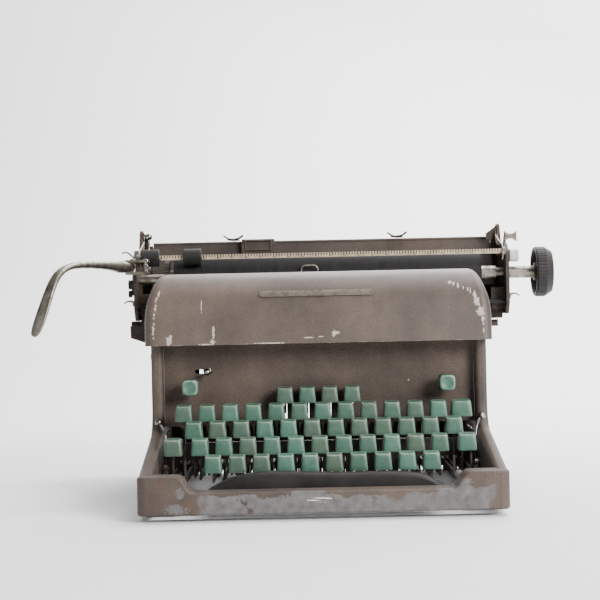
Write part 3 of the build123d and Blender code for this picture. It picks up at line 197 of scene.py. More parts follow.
def front_bar_wear(tree, at, colour):
    """Enamel rubbed through to grey primer along the front bar, with rust near its ends."""
    place = add(tree, "SeparateXYZ", {0: at})
    edge = add(tree, "TexNoise", {"Vector": at, "Scale": 34, "Detail": 6, "Roughness": 0.6})
    shift = add(tree, "MapRange", {"Value": edge.outputs[0], "To Min": -0.014, "To Max": 0.014})
    height = add(tree, "Math", {0: place.outputs["Z"], 1: shift.outputs[0]}, operation="ADD")
    low = add(tree, "MapRange", {"Value": height.outputs[0], "From Min": 0.0208, "From Max": 0.0201})
    near = add(
        tree,
        "MapRange",
        {
            "Value": place.outputs["Y"],
            "From Min": front_y + 0.012,
            "From Max": front_y + 0.006,
        },
    )
    across = add(tree, "Math", {0: place.outputs["X"], 1: shift.outputs[0]}, operation="ADD")
    inside = add(
        tree,
        "MapRange",
        {"Value": across.outputs[0], "From Min": body_x - 0.095, "From Max": body_x - 0.092},
    )
    ends = add(
        tree,
        "MapRange",
        {"Value": across.outputs[0], "From Min": body_x + 0.126, "From Max": body_x + 0.124},
    )
    zone = add(tree, "Math", {0: low.outputs[0], 1: near.outputs[0]}, operation="MULTIPLY")
    span = add(tree, "Math", {0: inside.outputs[0], 1: ends.outputs[0]}, operation="MULTIPLY")
    rubbed = add(tree, "Math", {0: zone.outputs[0], 1: span.outputs[0]}, operation="MULTIPLY")
    corner = scars(
        tree,
        at,
        [(-110.5, 10, 10, 4.5), (-108, 22, 4, 4), (-88, 24, 5, 2.5), (104, 27, 9, 3.2), (92, 23, 10, 2.5)],
    )
    either = add(tree, "Math", {0: rubbed.outputs[0], 1: corner}, operation="MAXIMUM")
    # Islands of enamel are left inside the rubbed area.
    island = add(tree, "TexNoise", {"Vector": at, "Scale": 95, "Detail": 5, "Roughness": 0.6})
    kept = add(tree, "MapRange", {"Value": island.outputs[0], "From Min": 0.35, "From Max": 0.38})
    primer = add(tree, "Math", {0: either.outputs[0], 1: kept.outputs[0]}, operation="MULTIPLY")
    mottled = add(tree, "TexNoise", {"Vector": at, "Scale": 150, "Detail": 5})
    grey = add(tree, "ValToRGB", {"Fac": mottled.outputs[0]}, stops=[(0.3, "#4b4847"), (0.7, "#63605f")])
    bare = add(tree, "MixRGB", {"Fac": primer.outputs[0], "Color1": colour, "Color2": grey.outputs[0]})
    # Bright rubs in the middle of the bar.
    drawn = add(tree, "Mapping", {"Vector": at, "Scale": (60, 60, 900)})
    lines = add(tree, "TexNoise", {"Vector": drawn.outputs[0], "Scale": 1, "Detail": 2})
    thin = add(tree, "MapRange", {"Value": lines.outputs[0], "From Min": 0.5, "From Max": 0.62})
    where = scars(tree, at, [(-3, 15.5, 11, 2.2)])
    rub = add(tree, "Math", {0: where, 1: thin.outputs[0]}, operation="MULTIPLY")
    shiny = add(tree, "MixRGB", {"Fac": rub.outputs[0], "Color1": bare.outputs[0], "Color2": "#c9c7c4"})
    # Rust blooms on the corners.
    bloom = add(tree, "TexNoise", {"Vector": at, "Scale": 85, "Detail": 6, "Roughness": 0.7})
    spots = add(
        tree, "MapRange", {"Value": bloom.outputs[0], "From Min": 0.42, "From Max": 0.58, "To Max": 0.5}
    )
    where = scars(tree, at, [(-117, 28, 14, 6), (-97, 12, 10, 7), (-123, 24, 5, 7), (107, 30, 7, 2.4)])
    rusty = add(tree, "Math", {0: spots.outputs[0], 1: where}, operation="MULTIPLY")
    return add(
        tree, "MixRGB", {"Fac": rusty.outputs[0], "Color1": shiny.outputs[0], "Color2": "#54392b"}
    ).outputs[0]


# Machine body: brown crinkle enamel, matt and fine-grained.
body_paint = crinkle_paint("body_crinkle_enamel", places=[(75.6, 96.4, 0.7, 0.7), (-92, 109, 1.1, 0.8)])
# Cast frame: the same enamel, rubbed to primer along the front bar.
frame_paint = crinkle_paint("frame_worn_enamel", special=front_bar_wear, gloss=0.35)

dress(frame_paint, "base_frame")
dress(body_paint, "side_plate_left", "side_plate_right", "front_panel", "rear_panel")

# ---- Feet ----
# Four feet of moulded rubber, gone hard and dull, screwed under the corners of the frame.
# They take the noise and keep the machine from sliding.


def aged_rubber(name, light, dark, low, high, along=(1, 1, 1), shine=0.35):
    """Hardened black rubber: faint bands along the roller, fine pitting, a dull shine."""
    made, tree, shader, at = new_material(name)
    drawn = add(tree, "Mapping", {"Vector": at, "Scale": along})
    band = add(tree, "TexNoise", {"Vector": drawn.outputs[0], "Scale": 60, "Detail": 5})
    tone = add(tree, "ValToRGB", {"Fac": band.outputs[0]}, stops=[(0.35, dark), (0.68, light)])
    tree.links.new(tone.outputs[0], shader.inputs["Base Color"])
    pit = add(tree, "TexNoise", {"Vector": at, "Scale": 1300, "Detail": 3})
    rough = add(
        tree,
        "MapRange",
        {"Value": band.outputs[0], "From Min": 0.3, "From Max": 0.7, "To Min": low, "To Max": high},
    )
    tree.links.new(rough.outputs[0], shader.inputs["Roughness"])
    bump = add(tree, "Bump", {"Height": pit.outputs[0], "Strength": 0.2, "Distance": 0.00015})
    tree.links.new(bump.outputs[0], shader.inputs["Normal"])
    shader.inputs["Specular IOR Level"].default_value = shine
    return made


# Feet and bail rollers: matt.
dull_rubber = aged_rubber("dull_rubber", "#1c1a1a", "#0e0d0d", 0.55, 0.75)

dress(dull_rubber, "rubber_feet")

# ---- Screws and type guide ----
# Turned steel screws hold the covers. The guide is bent from steel wire and steers each type bar
# to the printing point. Both are nickel plated, and the plate has gone warm and cloudy.


def plated(name, clean="#c3beb5", tarnish="#857a6a", low=0.2, high=0.42):
    """Old nickel plate: warm tarnish in clouds, fine scratches, duller where handled."""
    made, tree, shader, at = new_material(name)
    cloud = add(tree, "TexNoise", {"Vector": at, "Scale": 110, "Detail": 6, "Roughness": 0.65})
    tone = add(tree, "ValToRGB", {"Fac": cloud.outputs[0]}, stops=[(0.38, tarnish), (0.58, clean)])
    tree.links.new(tone.outputs[0], shader.inputs["Base Color"])
    dull = add(
        tree,
        "MapRange",
        {"Value": cloud.outputs[0], "From Min": 0.35, "From Max": 0.65, "To Min": high, "To Max": low},
    )
    tree.links.new(dull.outputs[0], shader.inputs["Roughness"])
    drawn = add(tree, "Mapping", {"Vector": at, "Scale": (300, 2400, 2400), "Rotation": (0.3, 0.2, 0.5)})
    lines = add(tree, "TexNoise", {"Vector": drawn.outputs[0], "Scale": 1, "Detail": 3})
    bump = add(tree, "Bump", {"Height": lines.outputs[0], "Strength": 0.12, "Distance": 0.0002})
    tree.links.new(bump.outputs[0], shader.inputs["Normal"])
    shader.inputs["Metallic"].default_value = 1.0
    return made


# Bright parts: levers, arms, screws.
nickel = plated("aged_nickel", clean="#928c82", tarnish="#675e53", low=0.3, high=0.5)

dress(nickel, "case_screws")
dress(nickel, "type_guide")

# ---- Rails, type bars and lever comb ----
# Milled rails are screwed across the top and carry the carriage. The half-ring segment holds the
# forged type bars, and a slotted comb guides the key levers. The steel is blackened or left bare,
# and oiled.


def oiled_steel(name, light, dark, metal=0.6):
    """Blackened or bare steel under old oil: dark, with brown dust and rust freckles."""
    made, tree, shader, at = new_material(name)
    cloud = add(tree, "TexNoise", {"Vector": at, "Scale": 60, "Detail": 6, "Roughness": 0.7})
    tone = add(tree, "ValToRGB", {"Fac": cloud.outputs[0]}, stops=[(0.36, dark), (0.64, light)])
    fleck = add(tree, "TexNoise", {"Vector": at, "Scale": 420, "Detail": 4, "Roughness": 0.7})
    rare = add(
        tree, "MapRange", {"Value": fleck.outputs[0], "From Min": 0.6, "From Max": 0.68, "To Max": 0.7}
    )
    rusted = add(tree, "MixRGB", {"Fac": rare.outputs[0], "Color1": tone.outputs[0], "Color2": "#6b4a35"})
    tree.links.new(rusted.outputs[0], shader.inputs["Base Color"])
    rough = add(tree, "MapRange", {"Value": fleck.outputs[0], "To Min": 0.36, "To Max": 0.72})
    tree.links.new(rough.outputs[0], shader.inputs["Roughness"])
    bump = add(tree, "Bump", {"Height": fleck.outputs[0], "Strength": 0.25, "Distance": 0.0003})
    tree.links.new(bump.outputs[0], shader.inputs["Normal"])
    shader.inputs["Metallic"].default_value = metal
    return made


# Rails, type segment and lever comb: blackened, dusty.
dark_steel = oiled_steel("blackened_steel", "#3a312b", "#201a16", 0.3)
# Key levers, type bars, rack: dull bare steel.
bare_steel = oiled_steel("dull_steel", "#423c35", "#241f1b", 0.45)

dress(dark_steel, "carriage_rails", "type_segment", "lever_comb", "fulcrum_rod")
dress(bare_steel, "type_bars")

# ---- Ribbon spools ----
# Two sheet spools sit under the hood, each wound with cotton ribbon soaked in ink.
# The ink leaves it nearly black and without shine.


def flat_finish(name, light, dark, rough, metal=0.0, scale=140):
    """Thin finish of small parts: two close tones in clouds and a light grain."""
    made, tree, shader, at = new_material(name)
    cloud = add(tree, "TexNoise", {"Vector": at, "Scale": scale, "Detail": 5, "Roughness": 0.65})
    tone = add(tree, "ValToRGB", {"Fac": cloud.outputs[0]}, stops=[(0.36, dark), (0.62, light)])
    tree.links.new(tone.outputs[0], shader.inputs["Base Color"])
    vary = add(tree, "MapRange", {"Value": cloud.outputs[0], "To Min": rough - 0.08, "To Max": rough + 0.1})
    tree.links.new(vary.outputs[0], shader.inputs["Roughness"])
    bump = add(tree, "Bump", {"Height": cloud.outputs[0], "Strength": 0.1, "Distance": 0.0003})
    tree.links.new(bump.outputs[0], shader.inputs["Normal"])
    shader.inputs["Metallic"].default_value = metal
    return made


# Ribbon: inked cloth wound on the spools.
ribbon = flat_finish("inked_ribbon", "#26242a", "#121115", 0.85, scale=900)

dress(ribbon, "ribbon_spool_left", "ribbon_spool_right")

# ---- Hood ----
# Pressed steel cover with a rounded top, hinged along its front. Its enamel is smoother than the
# frame's and catches the light, and it is knocked off in pale chips along the edges.

# Chips on the hood: its lower edge, the worn line down the left corner and the right shoulder.
chance = random.Random(4)
hood_chips = [
    (-123.7, 134, 2.6, 4.2),
    (-122.4, 137.5, 1.4, 2.0),
    (-87, 140, 1.1, 6),
    (-87.6, 132.5, 2.2, 2.4),
    (-93, 130.6, 6, 0.7),
    (-96.7, 162, 0.45, 6),
    (14.3, 138.3, 3.4, 1.6),
    (12.6, 137.2, 1.4, 3.0),
    (-9, 134.6, 5.5, 0.6),
    (2, 135.2, 2.4, 0.6),
    (-40, 130.7, 16, 0.6),
    (134.6, 153.4, 3.4, 4.0),
    (131.6, 162, 2.2, 4.0),
]
for line, count, size in (
    ([(-131, 175), (-134.4, 168), (-135.6, 156), (-137, 144), (-136.6, 134)], 13, 0.75),
    ([(110, 178.5), (118, 175), (127, 171), (132, 165), (134.5, 156), (137, 146), (137, 135)], 15, 1.1),
):
    for i in range(count):
        t = (i + 0.6 * chance.random()) / count * (len(line) - 1)
        a, b = line[int(t)], line[int(t) + 1]
        x = a[0] + (b[0] - a[0]) * (t % 1) + 0.8 * (chance.random() - 0.5)
        z = a[1] + (b[1] - a[1]) * (t % 1)
        hood_chips.append((x, z, size * (0.5 + chance.random()), size * (1.0 + 2.2 * chance.random())))
# Hood: smoother, with a soft sheen along its rounded top and pale chips.
hood_paint = crinkle_paint(
    "hood_enamel", light="#584a41", dark="#3f342d", gloss=0.7, places=hood_chips, dusty=0.2
)

dress(hood_paint, "hood")
dress(nickel, "hood_badge")

# ---- Carriage ----
# Bed, end plates and paper table are enamelled steel, riveted and screwed together, and slide on
# the rails. Between the end plates turn the rubber platen and its feed rollers. The small levers
# are stamped and plated, and the knobs are moulded plastic.

# Paper table: darker, browner enamel.
table_paint = crinkle_paint("table_enamel", light="#44372f", dark="#2e241e", gloss=0.1)
# Platen: smooth enough to carry a long soft highlight.
platen_rubber = aged_rubber("platen_rubber", "#1d1b1c", "#100e0e", 0.5, 0.66, (4, 1, 1), 0.22)
# Space bar and knob: dark brown moulded plastic with a satin face.
dark_plastic = aged_rubber("dark_moulding", "#211d1b", "#120f0e", 0.45, 0.62)
# Bail scale: yellowed enamel, its marks in dark and red ink.
scale_enamel = flat_finish("scale_enamel", "#b5a48a", "#94836a", 0.45)
# Right-hand button: dull white metal.
white_metal = flat_finish("white_button_metal", "#c2c6c6", "#a1a6a6", 0.35, 0.3)
# Ball lever, ribbon selector, touch levers and bracket screws: cleaner and shinier.
chrome = plated("bright_plating", clean="#97938d", tarnish="#5d5751", low=0.16, high=0.32)

dress(table_paint, "carriage_bed", "end_plate_left", "end_plate_right")
dress(table_paint, "paper_table", "paper_guide")
dress(nickel, "page_clips", "lever_bracket", "bail_arms", "paper_release")
dress(nickel, "carriage_release_left", "carriage_release_right", "platen_shaft")
dress(bare_steel, "margin_rack", "platen_ratchet")
dress(platen_rubber, "platen_roller", "feed_rollers")
dress(dark_plastic, "platen_knob", "line_space_selector")
dress(scale_enamel, "bail_scale")
dress(dull_rubber, "bail_roller_left", "bail_roller_right")
dress(white_metal, "spacer_button")
dress(chrome, "ball_lever")

# ---- Keyboard ----
# Four stepped rows of moulded green caps, each pressed on the end of a flat steel lever.
# The levers turn on one rod behind. The rims carry a painted highlight, paler at the right-hand corners
# that face the light, and the dished tops are shiny.


def key_plastic():
    """Green moulded plastic: cap-to-cap shifts to olive, marbling, a painted highlight on rims and
    right-hand corners, finger shine.
    """
    made, tree, shader, at = new_material("green_key_plastic")
    tint = add(tree, "Attribute", attribute_name="tint").outputs["Fac"]
    edge_highlight = add(tree, "Attribute", attribute_name="edge_highlight").outputs["Fac"]
    tone = add(
        tree,
        "ValToRGB",
        {"Fac": tint},
        stops=[(0.0, "#414a39"), (0.2, "#3c5142"), (0.55, "#345646"), (1.0, "#3f6656")],
    )
    marble = add(
        tree, "TexNoise", {"Vector": at, "Scale": 190, "Detail": 6, "Roughness": 0.6, "Distortion": 1.2}
    )
    shade = add(tree, "ValToRGB", {"Fac": marble.outputs[0]}, stops=[(0.3, 0.72), (0.66, 1.12)])
    cloudy = add(
        tree,
        "MixRGB",
        {"Fac": 0.7, "Color1": tone.outputs[0], "Color2": shade.outputs[0]},
        blend_type="MULTIPLY",
    )
    fine = add(tree, "TexNoise", {"Vector": at, "Scale": 900, "Detail": 4, "Roughness": 0.7})
    speck = add(
        tree, "MapRange", {"Value": fine.outputs[0], "From Min": 0.63, "From Max": 0.7, "To Max": 0.5}
    )
    specked = add(
        tree, "MixRGB", {"Fac": speck.outputs[0], "Color1": cloudy.outputs[0], "Color2": "#26332a"}
    )
    # Painted highlight: a pale green on the rims and right-hand corners, broken up by noise.
    highlight_breakup = add(tree, "TexNoise", {"Vector": at, "Scale": 320, "Detail": 4})
    thin = add(
        tree, "MapRange", {"Value": highlight_breakup.outputs[0], "From Min": 0.3, "From Max": 0.6, "To Min": 0.35}
    )
    highlight_mask = add(tree, "Math", {0: edge_highlight, 1: thin.outputs[0]}, operation="MULTIPLY")
    edged = add(tree, "MixRGB", {"Fac": highlight_mask.outputs[0], "Color1": specked.outputs[0], "Color2": "#8fa08a"})
    tree.links.new(edged.outputs[0], shader.inputs["Base Color"])
    rough = add(
        tree,
        "MapRange",
        {"Value": marble.outputs[0], "From Min": 0.3, "From Max": 0.7, "To Min": 0.3, "To Max": 0.5},
    )
    tree.links.new(rough.outputs[0], shader.inputs["Roughness"])
    bump = add(tree, "Bump", {"Height": fine.outputs[0], "Strength": 0.12, "Distance": 0.0003})
    tree.links.new(bump.outputs[0], shader.inputs["Normal"])
    return made


green_plastic = key_plastic()


def piece(name, bm, material, body, replaces=(), smooth=40):
    """Finished object from a bmesh in the shared frame, riding on a body."""
    bmesh.ops.remove_doubles(bm, verts=bm.verts, dist=1e-6)
    bmesh.ops.recalc_face_normals(bm, faces=bm.faces)
    data = bpy.data.meshes.new(name)
    bm.to_mesh(data)
    bm.free()
    obj = bpy.data.objects.new(name, data)
    bpy.context.scene.collection.objects.link(obj)
    data.materials.append(material)
    data.shade_smooth()
    data.set_sharp_from_angle(angle=math.radians(smooth))
    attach(obj, body)
    if replaces:
        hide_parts(*replaces)
    return obj


def skin(bm, rings):
    """Joins rings of points, each with the same count, into one closed surface."""
    loops = [[bm.verts.new(p) for p in ring] for ring in rings]
    count = len(loops[0])
    for low, high in zip(loops, loops[1:]):
        for i in range(count):
            j = (i + 1) % count
            bm.faces.new((low[i], low[j], high[j], high[i]))
    bm.faces.new(loops[0][::-1])
    bm.faces.new(loops[-1])
    return loops


def squircle(half_w, half_d, power, count):
    """Points of a superellipse, from a circle (2) towards a rectangle (8)."""
    out = []
    for i in range(count):
        a = 2 * math.pi * (i + 0.5) / count
        c, s = math.cos(a), math.sin(a)
        out.append(
            (
                half_w * math.copysign(abs(c) ** (2 / power), c),
                half_d * math.copysign(abs(s) ** (2 / power), s),
            )
        )
    return out


# Millimetres: width of a plain cap, how far its rim is under the CAD box, and a lever's sheet.
CAP_WIDTH = 14.6
CAP_HALF = CAP_WIDTH / 2
RIM_SINK = 0.2
LEVER_SHEET = 1.4


def key_caps(name, body, places, replaces, seed):
    """Caps of one row: places are (top centre, width) with a tapered body and a dished top."""
    bm = bmesh.new()
    tint = bm.verts.layers.float.new("tint")
    edge_highlight = bm.verts.layers.float.new("edge_highlight")
    chance = random.Random(seed)
    for centre, width in places:
        shade = chance.random() ** 0.8
        half = width / 2
        trim = 0.9
        rings, marks = [], []
        # Up the side from the skirt, over the rim and down into the dish. The last column is a painted
        # highlight, brightest on the rim.
        for z, inset, power, mark in (
            (-14.0, 0.5, 7, 0.2),
            (-13.7, 0.1, 7, 0.35),
            (-13.0, 0.0, 7, 0.0),
            (-9.0, trim * 0.36, 6.6, 0.0),
            (-5.0, trim * 0.72, 6, 0.0),
            (-1.6, trim * 1.0, 5.4, 0.15),
            (-0.75, trim * 1.0 + 0.12, 5, 0.45),
            (-0.25, trim * 1.0 + 0.5, 4.6, 1.0),
            (0.0, trim * 1.0 + 1.1, 4.2, 0.7),
            (-0.1, trim * 1.0 + 1.8, 3.6, 0.1),
            (-0.4, trim * 1.0 + 3.2, 3, 0.0),
            (-0.62, trim * 1.0 + 4.8, 2.4, 0.0),
            (-0.68, half - 0.4, 2, 0.0),
        ):
            ring = []
            for x, y in squircle(half - inset, min(half, CAP_HALF) - inset, power, 40):
                # The top leans a little towards the typist.
                drop = 0.1 * max(0.0, z + 6) / 6 * (y - 7)
                ring.append(Vector(centre) + Vector((x, y, z + drop)) * MM)
            rings.append(ring)
            marks.append(mark)
        for ring, mark in zip(skin(bm, rings), marks):
            for i, vert in enumerate(ring):
                a = 2 * math.pi * (i + 0.5) / len(ring)
                # Painted highlight: the right-hand front corner, which faces the light, is paler, the left
                # one less.
                corner = max(
                    0.0, 1 - abs(a - math.pi * 1.75) / 0.16
                ) + 0.3 * max(0.0, 1 - abs(a - math.pi * 1.25) / 0.16)
                vert[tint] = shade
                vert[edge_highlight] = max(mark * (0.35 + 0.65 * chance.random()), corner * 0.7)
    return piece(name, bm, green_plastic, body, replaces, smooth=60)


def row_places(node, count, pitch, wide_last=0.0):
    """Top centres of a row's caps, from the row's box and its spacing."""
    low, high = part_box(node)
    y = (low[1] + high[1]) / 2 + 0.1 * MM
    z = high[2] - RIM_SINK * MM
    first = low[0] + CAP_HALF * MM
    places = [((first + i * pitch * MM, y, z), CAP_WIDTH) for i in range(count)]
    if wide_last:
        places.append(((first + count * pitch * MM, y, z), wide_last))
    return places


key_caps(
    "number_row_caps", "key_row_1", row_places("key_caps_row_1", 12, 19.07, 17.6), ["key_caps_row_1"], 3
)
key_caps("upper_row_caps", "key_row_2", row_places("key_caps_row_2", 12, 19.19), ["key_caps_row_2"], 11)
key_caps("home_row_caps", "key_row_3", row_places("key_caps_row_3", 11, 19.19), ["key_caps_row_3"], 5)
key_caps("lower_row_caps", "key_row_4", row_places("key_caps_row_4", 10, 19.12), ["key_caps_row_4"], 19)
dress(
    bare_steel,
    "key_levers_row_1",
    "key_levers_row_2",
    "key_levers_row_3",
    "key_levers_row_4",
    "shift_levers",
)
dress(dark_plastic, "space_bar")
dress(bare_steel, "space_arms")
dress(chrome, "ribbon_selector", "touch_lever_left", "touch_lever_right")


def spot(x, y, z):
    """Point given in millimetres from the middle of the front bar's foot."""
    return Vector((body_x + x * MM, front_y + y * MM, z * MM))


def plate(bm, outline, x, thick):
    """Flat sheet standing across X: outline is (y, z) in millimetres."""
    for side in (-1, 1):
        ring = [bm.verts.new(spot(x + side * thick / 2, y, z)) for y, z in outline]
        bm.faces.new(ring if side > 0 else ring[::-1])
        if side > 0:
            for i, vert in enumerate(ring):
                j = (i + 1) % len(ring)
                bm.faces.new((back[i], back[j], ring[j], vert))
        back = ring
    bmesh.ops.recalc_face_normals(bm, faces=bm.faces)


# Keys on levers of their own: the same caps, each on a flat lever.
TAB_PITCH = 18.7
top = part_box("tab_keys")[1][2] - RIM_SINK * MM
tab_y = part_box("tab_keys")[0][1] + 7.4 * MM
tabs = [(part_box("tab_keys")[0][0] + (CAP_HALF + TAB_PITCH * i) * MM, tab_y, top) for i in range(4)]
key_caps("tab_caps", "tab_keys", [(c, CAP_WIDTH) for c in tabs], ["tab_keys"], 8)
bm = bmesh.new()
for centre in tabs:
    x = (centre[0] - body_x) / MM
    outline = [(126, 86), (126, 74), (128, 71), (170, 71), (170, 77), (133, 77), (130, 80), (130, 86)]
    plate(bm, outline, x, LEVER_SHEET)
piece("tab_plungers", bm, dark_steel, "tab_keys")
WIDE_CAP = 15.4
for name, dx in (("lock_key", 0), ("right_key", 3.1)):
    low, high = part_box(name)
    middle = (low[0] + high[0]) / 2
    cap = ((middle, low[1] + 7.4 * MM, high[2] - RIM_SINK * MM), WIDE_CAP)
    key_caps(name + "_cap", name, [cap], [name], 21 + int(dx))
    bm = bmesh.new()
    outline = [(71, 49), (71, 25), (73, 23), (290, 23)]
    sweep = [math.radians(205 + 13 * k) for k in range(25)]
    outline += [(296 + 7 * math.cos(a), 26 + 7 * math.sin(a)) for a in sweep]
    outline += [(290, 29), (76.5, 29), (75, 30.5), (75, 49)]
    plate(bm, outline, (middle - body_x) / MM + dx, LEVER_SHEET)
    piece(name + "_lever", bm, bare_steel, name)

# Panel keys: rounded square caps with a round dish, on a stem through the panel.
for name in ("margin_key_left", "margin_key_right"):
    low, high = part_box(name)
    x, z = (low[0] + high[0]) / 2, (low[2] + high[2]) / 2
    bm = bmesh.new()
    tint = bm.verts.layers.float.new("tint")
    edge_highlight = bm.verts.layers.float.new("edge_highlight")
    rings, marks = [], []
    for along, half, power, mark in (
        (41.2, 2.2, 8, 0),
        (11.6, 2.2, 8, 0),
        (11.3, 6.6, 6, 0),
        (10.8, 7.0, 5, 0.2),
        (3.0, 6.7, 4.6, 0),
        (1.0, 6.4, 4.2, 0.4),
        (0.3, 6.0, 4.0, 1.0),
        (0.05, 5.5, 3.6, 0.8),
        (0.3, 4.9, 2.4, 0.2),
        (0.9, 3.6, 2, 0),
        (1.2, 1.8, 2, 0),
        (1.3, 0.3, 2, 0),
    ):
        y = low[1] + along * MM
        rings.append([Vector((x + u * MM, y, z + v * MM)) for u, v in squircle(half, half, power, 36)])
        marks.append(mark)
    for ring, mark in zip(skin(bm, rings), marks):
        for i, vert in enumerate(ring):
            # Painted highlight on the rim, strongest on the upper right side, which faces the light.
            lit = 0.5 + 0.5 * math.cos(2 * math.pi * (i + 0.5) / 36 - math.radians(45))
            vert[tint] = 0.75
            vert[edge_highlight] = mark * lit
    piece(name + "_cap", bm, green_plastic, name, [name], smooth=60)

# ---- Return lever ----
# A forged arm on a clevis at the left end of the carriage. Its hub is thick, its shank long and
# tapered, and the finger paddle is hammered flat. It is plated, and dulled by handling.

# Return lever: plating gone dull and yellow-grey from handling.
lever_plate = plated("handled_plating", clean="#8b877c", tarnish="#605a4c", low=0.3, high=0.5)


def smooth_path(points, steps):
    """Points along a Catmull-Rom curve through the given points."""
    pts = [Vector(p) for p in points]
    pts = [2 * pts[0] - pts[1]] + pts + [2 * pts[-1] - pts[-2]]
    out = []
    for i in range(1, len(pts) - 2):
        a, b, c, d = pts[i - 1 : i + 3]
        for k in range(steps):
            t = k / steps
            out.append(
                0.5
                * (
                    2 * b
                    + (c - a) * t
                    + (2 * a - 5 * b + 4 * c - d) * t * t
                    + (3 * b - a - 3 * c + d) * t**3
                )
            )
    out.append(pts[-2])
    return out


def wire(bm, points, radius, steps=6, count=10, flat=1.0):
    """Round or flattened wire along a smooth path, in metres."""
    path = smooth_path(points, steps)
    side = Vector((0, 0, 1))
    rings = []
    for i, point in enumerate(path):
        ahead = (path[min(i + 1, len(path) - 1)] - path[max(i - 1, 0)]).normalized()
        if abs(ahead.dot(side)) > 0.95:
            side = Vector((1, 0, 0))
        u = ahead.cross(side).normalized()
        w = u.cross(ahead).normalized()
        side = w
        rings.append(
            [
                point + u * math.cos(
                    2 * math.pi * k / count
                ) * radius + w * math.sin(2 * math.pi * k / count) * radius * flat
                for k in range(count)
            ]
        )
    skin(bm, rings)


def turned(bm, centre, axis, profile, count=32):
    """Solid of revolution: profile is (distance along the axis, radius) in millimetres."""
    spin = Vector((0, 0, 1)).rotation_difference(Vector(axis)).to_matrix()
    rings = []
    for along, radius in profile:
        ring = []
        for i in range(count):
            a = 2 * math.pi * i / count
            local = Vector((radius * math.cos(a), radius * math.sin(a), along)) * MM
            ring.append(Vector(centre) + spin @ local)
        rings.append(ring)
    skin(bm, rings)


def screw_heads(name, body, material, places, radius=2.6, height=1.3):
    """Slotted, domed screw heads: places are (centre on the surface, outward direction)."""
    bm = bmesh.new()
    for centre, outward in places:
        r, h = radius, height
        turned(
            bm,
            centre,
            outward,
            [(-0.4, r), (h * 0.55, r), (h * 0.85, r * 0.88), (h, r * 0.6), (h, 0.02)],
            24,
        )
        spin = Vector((0, 0, 1)).rotation_difference(Vector(outward)).to_matrix().to_4x4()
        turn = Matrix.Rotation(0.5 + 7.3 * centre[2] * 50, 4, "Z")
        slot = bmesh.ops.create_cube(bm, size=1)["verts"]
        place = Matrix.Translation(centre) @ spin @ turn @ Matrix.Translation((0, 0, h * MM))
        scale = Matrix.Diagonal((r * 1.7 * MM, 0.5 * MM, 0.12 * MM, 1))
        bmesh.ops.transform(bm, matrix=place @ scale, verts=slot)
    return piece(name, bm, material, body)


# Smooth tapered arm: thick hub, long shank and a flat finger paddle bent down.
bm = bmesh.new()
rings = []
# Each station: place, half width and half thickness, in millimetres.
stations = (
    ((-163.5, 213, 198), 4.8, 3.6),
    ((-167.5, 205.3, 198), 5.0, 3.7),
    ((-170, 200.6, 198), 5.4, 5.2),
    ((-172.4, 196, 198.2), 5.4, 5.8),
    ((-176, 189, 198.6), 4.6, 4.8),
    ((-181, 179, 199.2), 3.9, 3.8),
    ((-189, 163, 199.6), 3.6, 3.3),
    ((-197, 143, 199.4), 3.5, 3.0),
    ((-204, 124, 198.4), 3.6, 2.7),
    ((-209, 110, 195.6), 3.8, 2.5),
    ((-212.5, 101, 191.2), 4.1, 2.4),
    ((-215, 96, 186), 4.4, 2.4),
    ((-217.6, 92.4, 179), 4.7, 2.3),
    ((-220.4, 89.4, 170), 5.2, 2.2),
    ((-223.4, 87.2, 160), 5.6, 2.1),
    ((-226.4, 85.6, 151), 5.6, 2.0),
    ((-228.8, 84.6, 145), 4.8, 1.8),
    ((-230.2, 84.1, 141.6), 3.4, 1.4),
    ((-230.8, 83.9, 140.4), 1.4, 0.7),
)
LEVER_SIDES = 20
points = [spot(*p) for p, w, t in stations]
for i, (p, w, t) in enumerate(stations):
    ahead = (points[min(i + 1, len(points) - 1)] - points[max(i - 1, 0)]).normalized()
    across = Vector((0.88, -0.46, 0)) if i < 9 else Vector((0.86, -0.48, -0.12))
    across = (across - ahead * across.dot(ahead)).normalized()
    up = across.cross(ahead)
    ring = []
    for k in range(LEVER_SIDES):
        a = 2 * math.pi * k / LEVER_SIDES
        c, q = math.cos(a), math.sin(a)
        c, q = math.copysign(abs(c) ** 0.8, c), math.copysign(abs(q) ** 0.8, q)
        ring.append(points[i] + across * c * w * MM + up * q * t * MM)
    rings.append(ring)
skin(bm, rings)
obj = piece("return_lever_arm", bm, lever_plate, "return_lever", ["return_lever"], smooth=70)
obj.modifiers.new("smooth", "SUBSURF").levels = 1
obj.modifiers["smooth"].render_levels = 1

# Small curved finger horn over the lever's pivot, and the three bright screws of the bracket.
bm = bmesh.new()
wire(
    bm,
    [spot(-160, 214, 203.5), spot(-163.6, 211, 207.6), spot(-167.6, 208, 211), spot(-172.2, 205, 210.8)],
    1.1 * MM,
    flat=0.6,
)
piece("finger_horn", bm, dark_steel, "carriage", smooth=60)
places = [(spot(-150.6, 204.6, z), (0, -1, 0)) for z in (203.2, 198.4, 193)]
screw_heads("bracket_screws", "carriage", chrome, places, radius=1.7, height=1.1)

# ---- Bail ----
# A round rod with a flat enamelled strip holds the paper against the platen. Two sprung arms
# carry it, and its scale is printed in dark and red ink.


def bar(bm, low, high):
    """Thin rectangular mark between two corners, in millimetres."""
    made = bmesh.ops.create_cube(bm, size=1)["verts"]
    a, b = spot(*low), spot(*high)
    scale = Matrix.Diagonal((*(b - a), 1))
    bmesh.ops.transform(bm, matrix=Matrix.Translation((a + b) / 2) @ scale, verts=made)


ink = flat_finish("scale_ink", "#30231e", "#1c1512", 0.5, scale=500)
red_ink = flat_finish("scale_red_ink", "#6e352b", "#50261f", 0.5, scale=500)
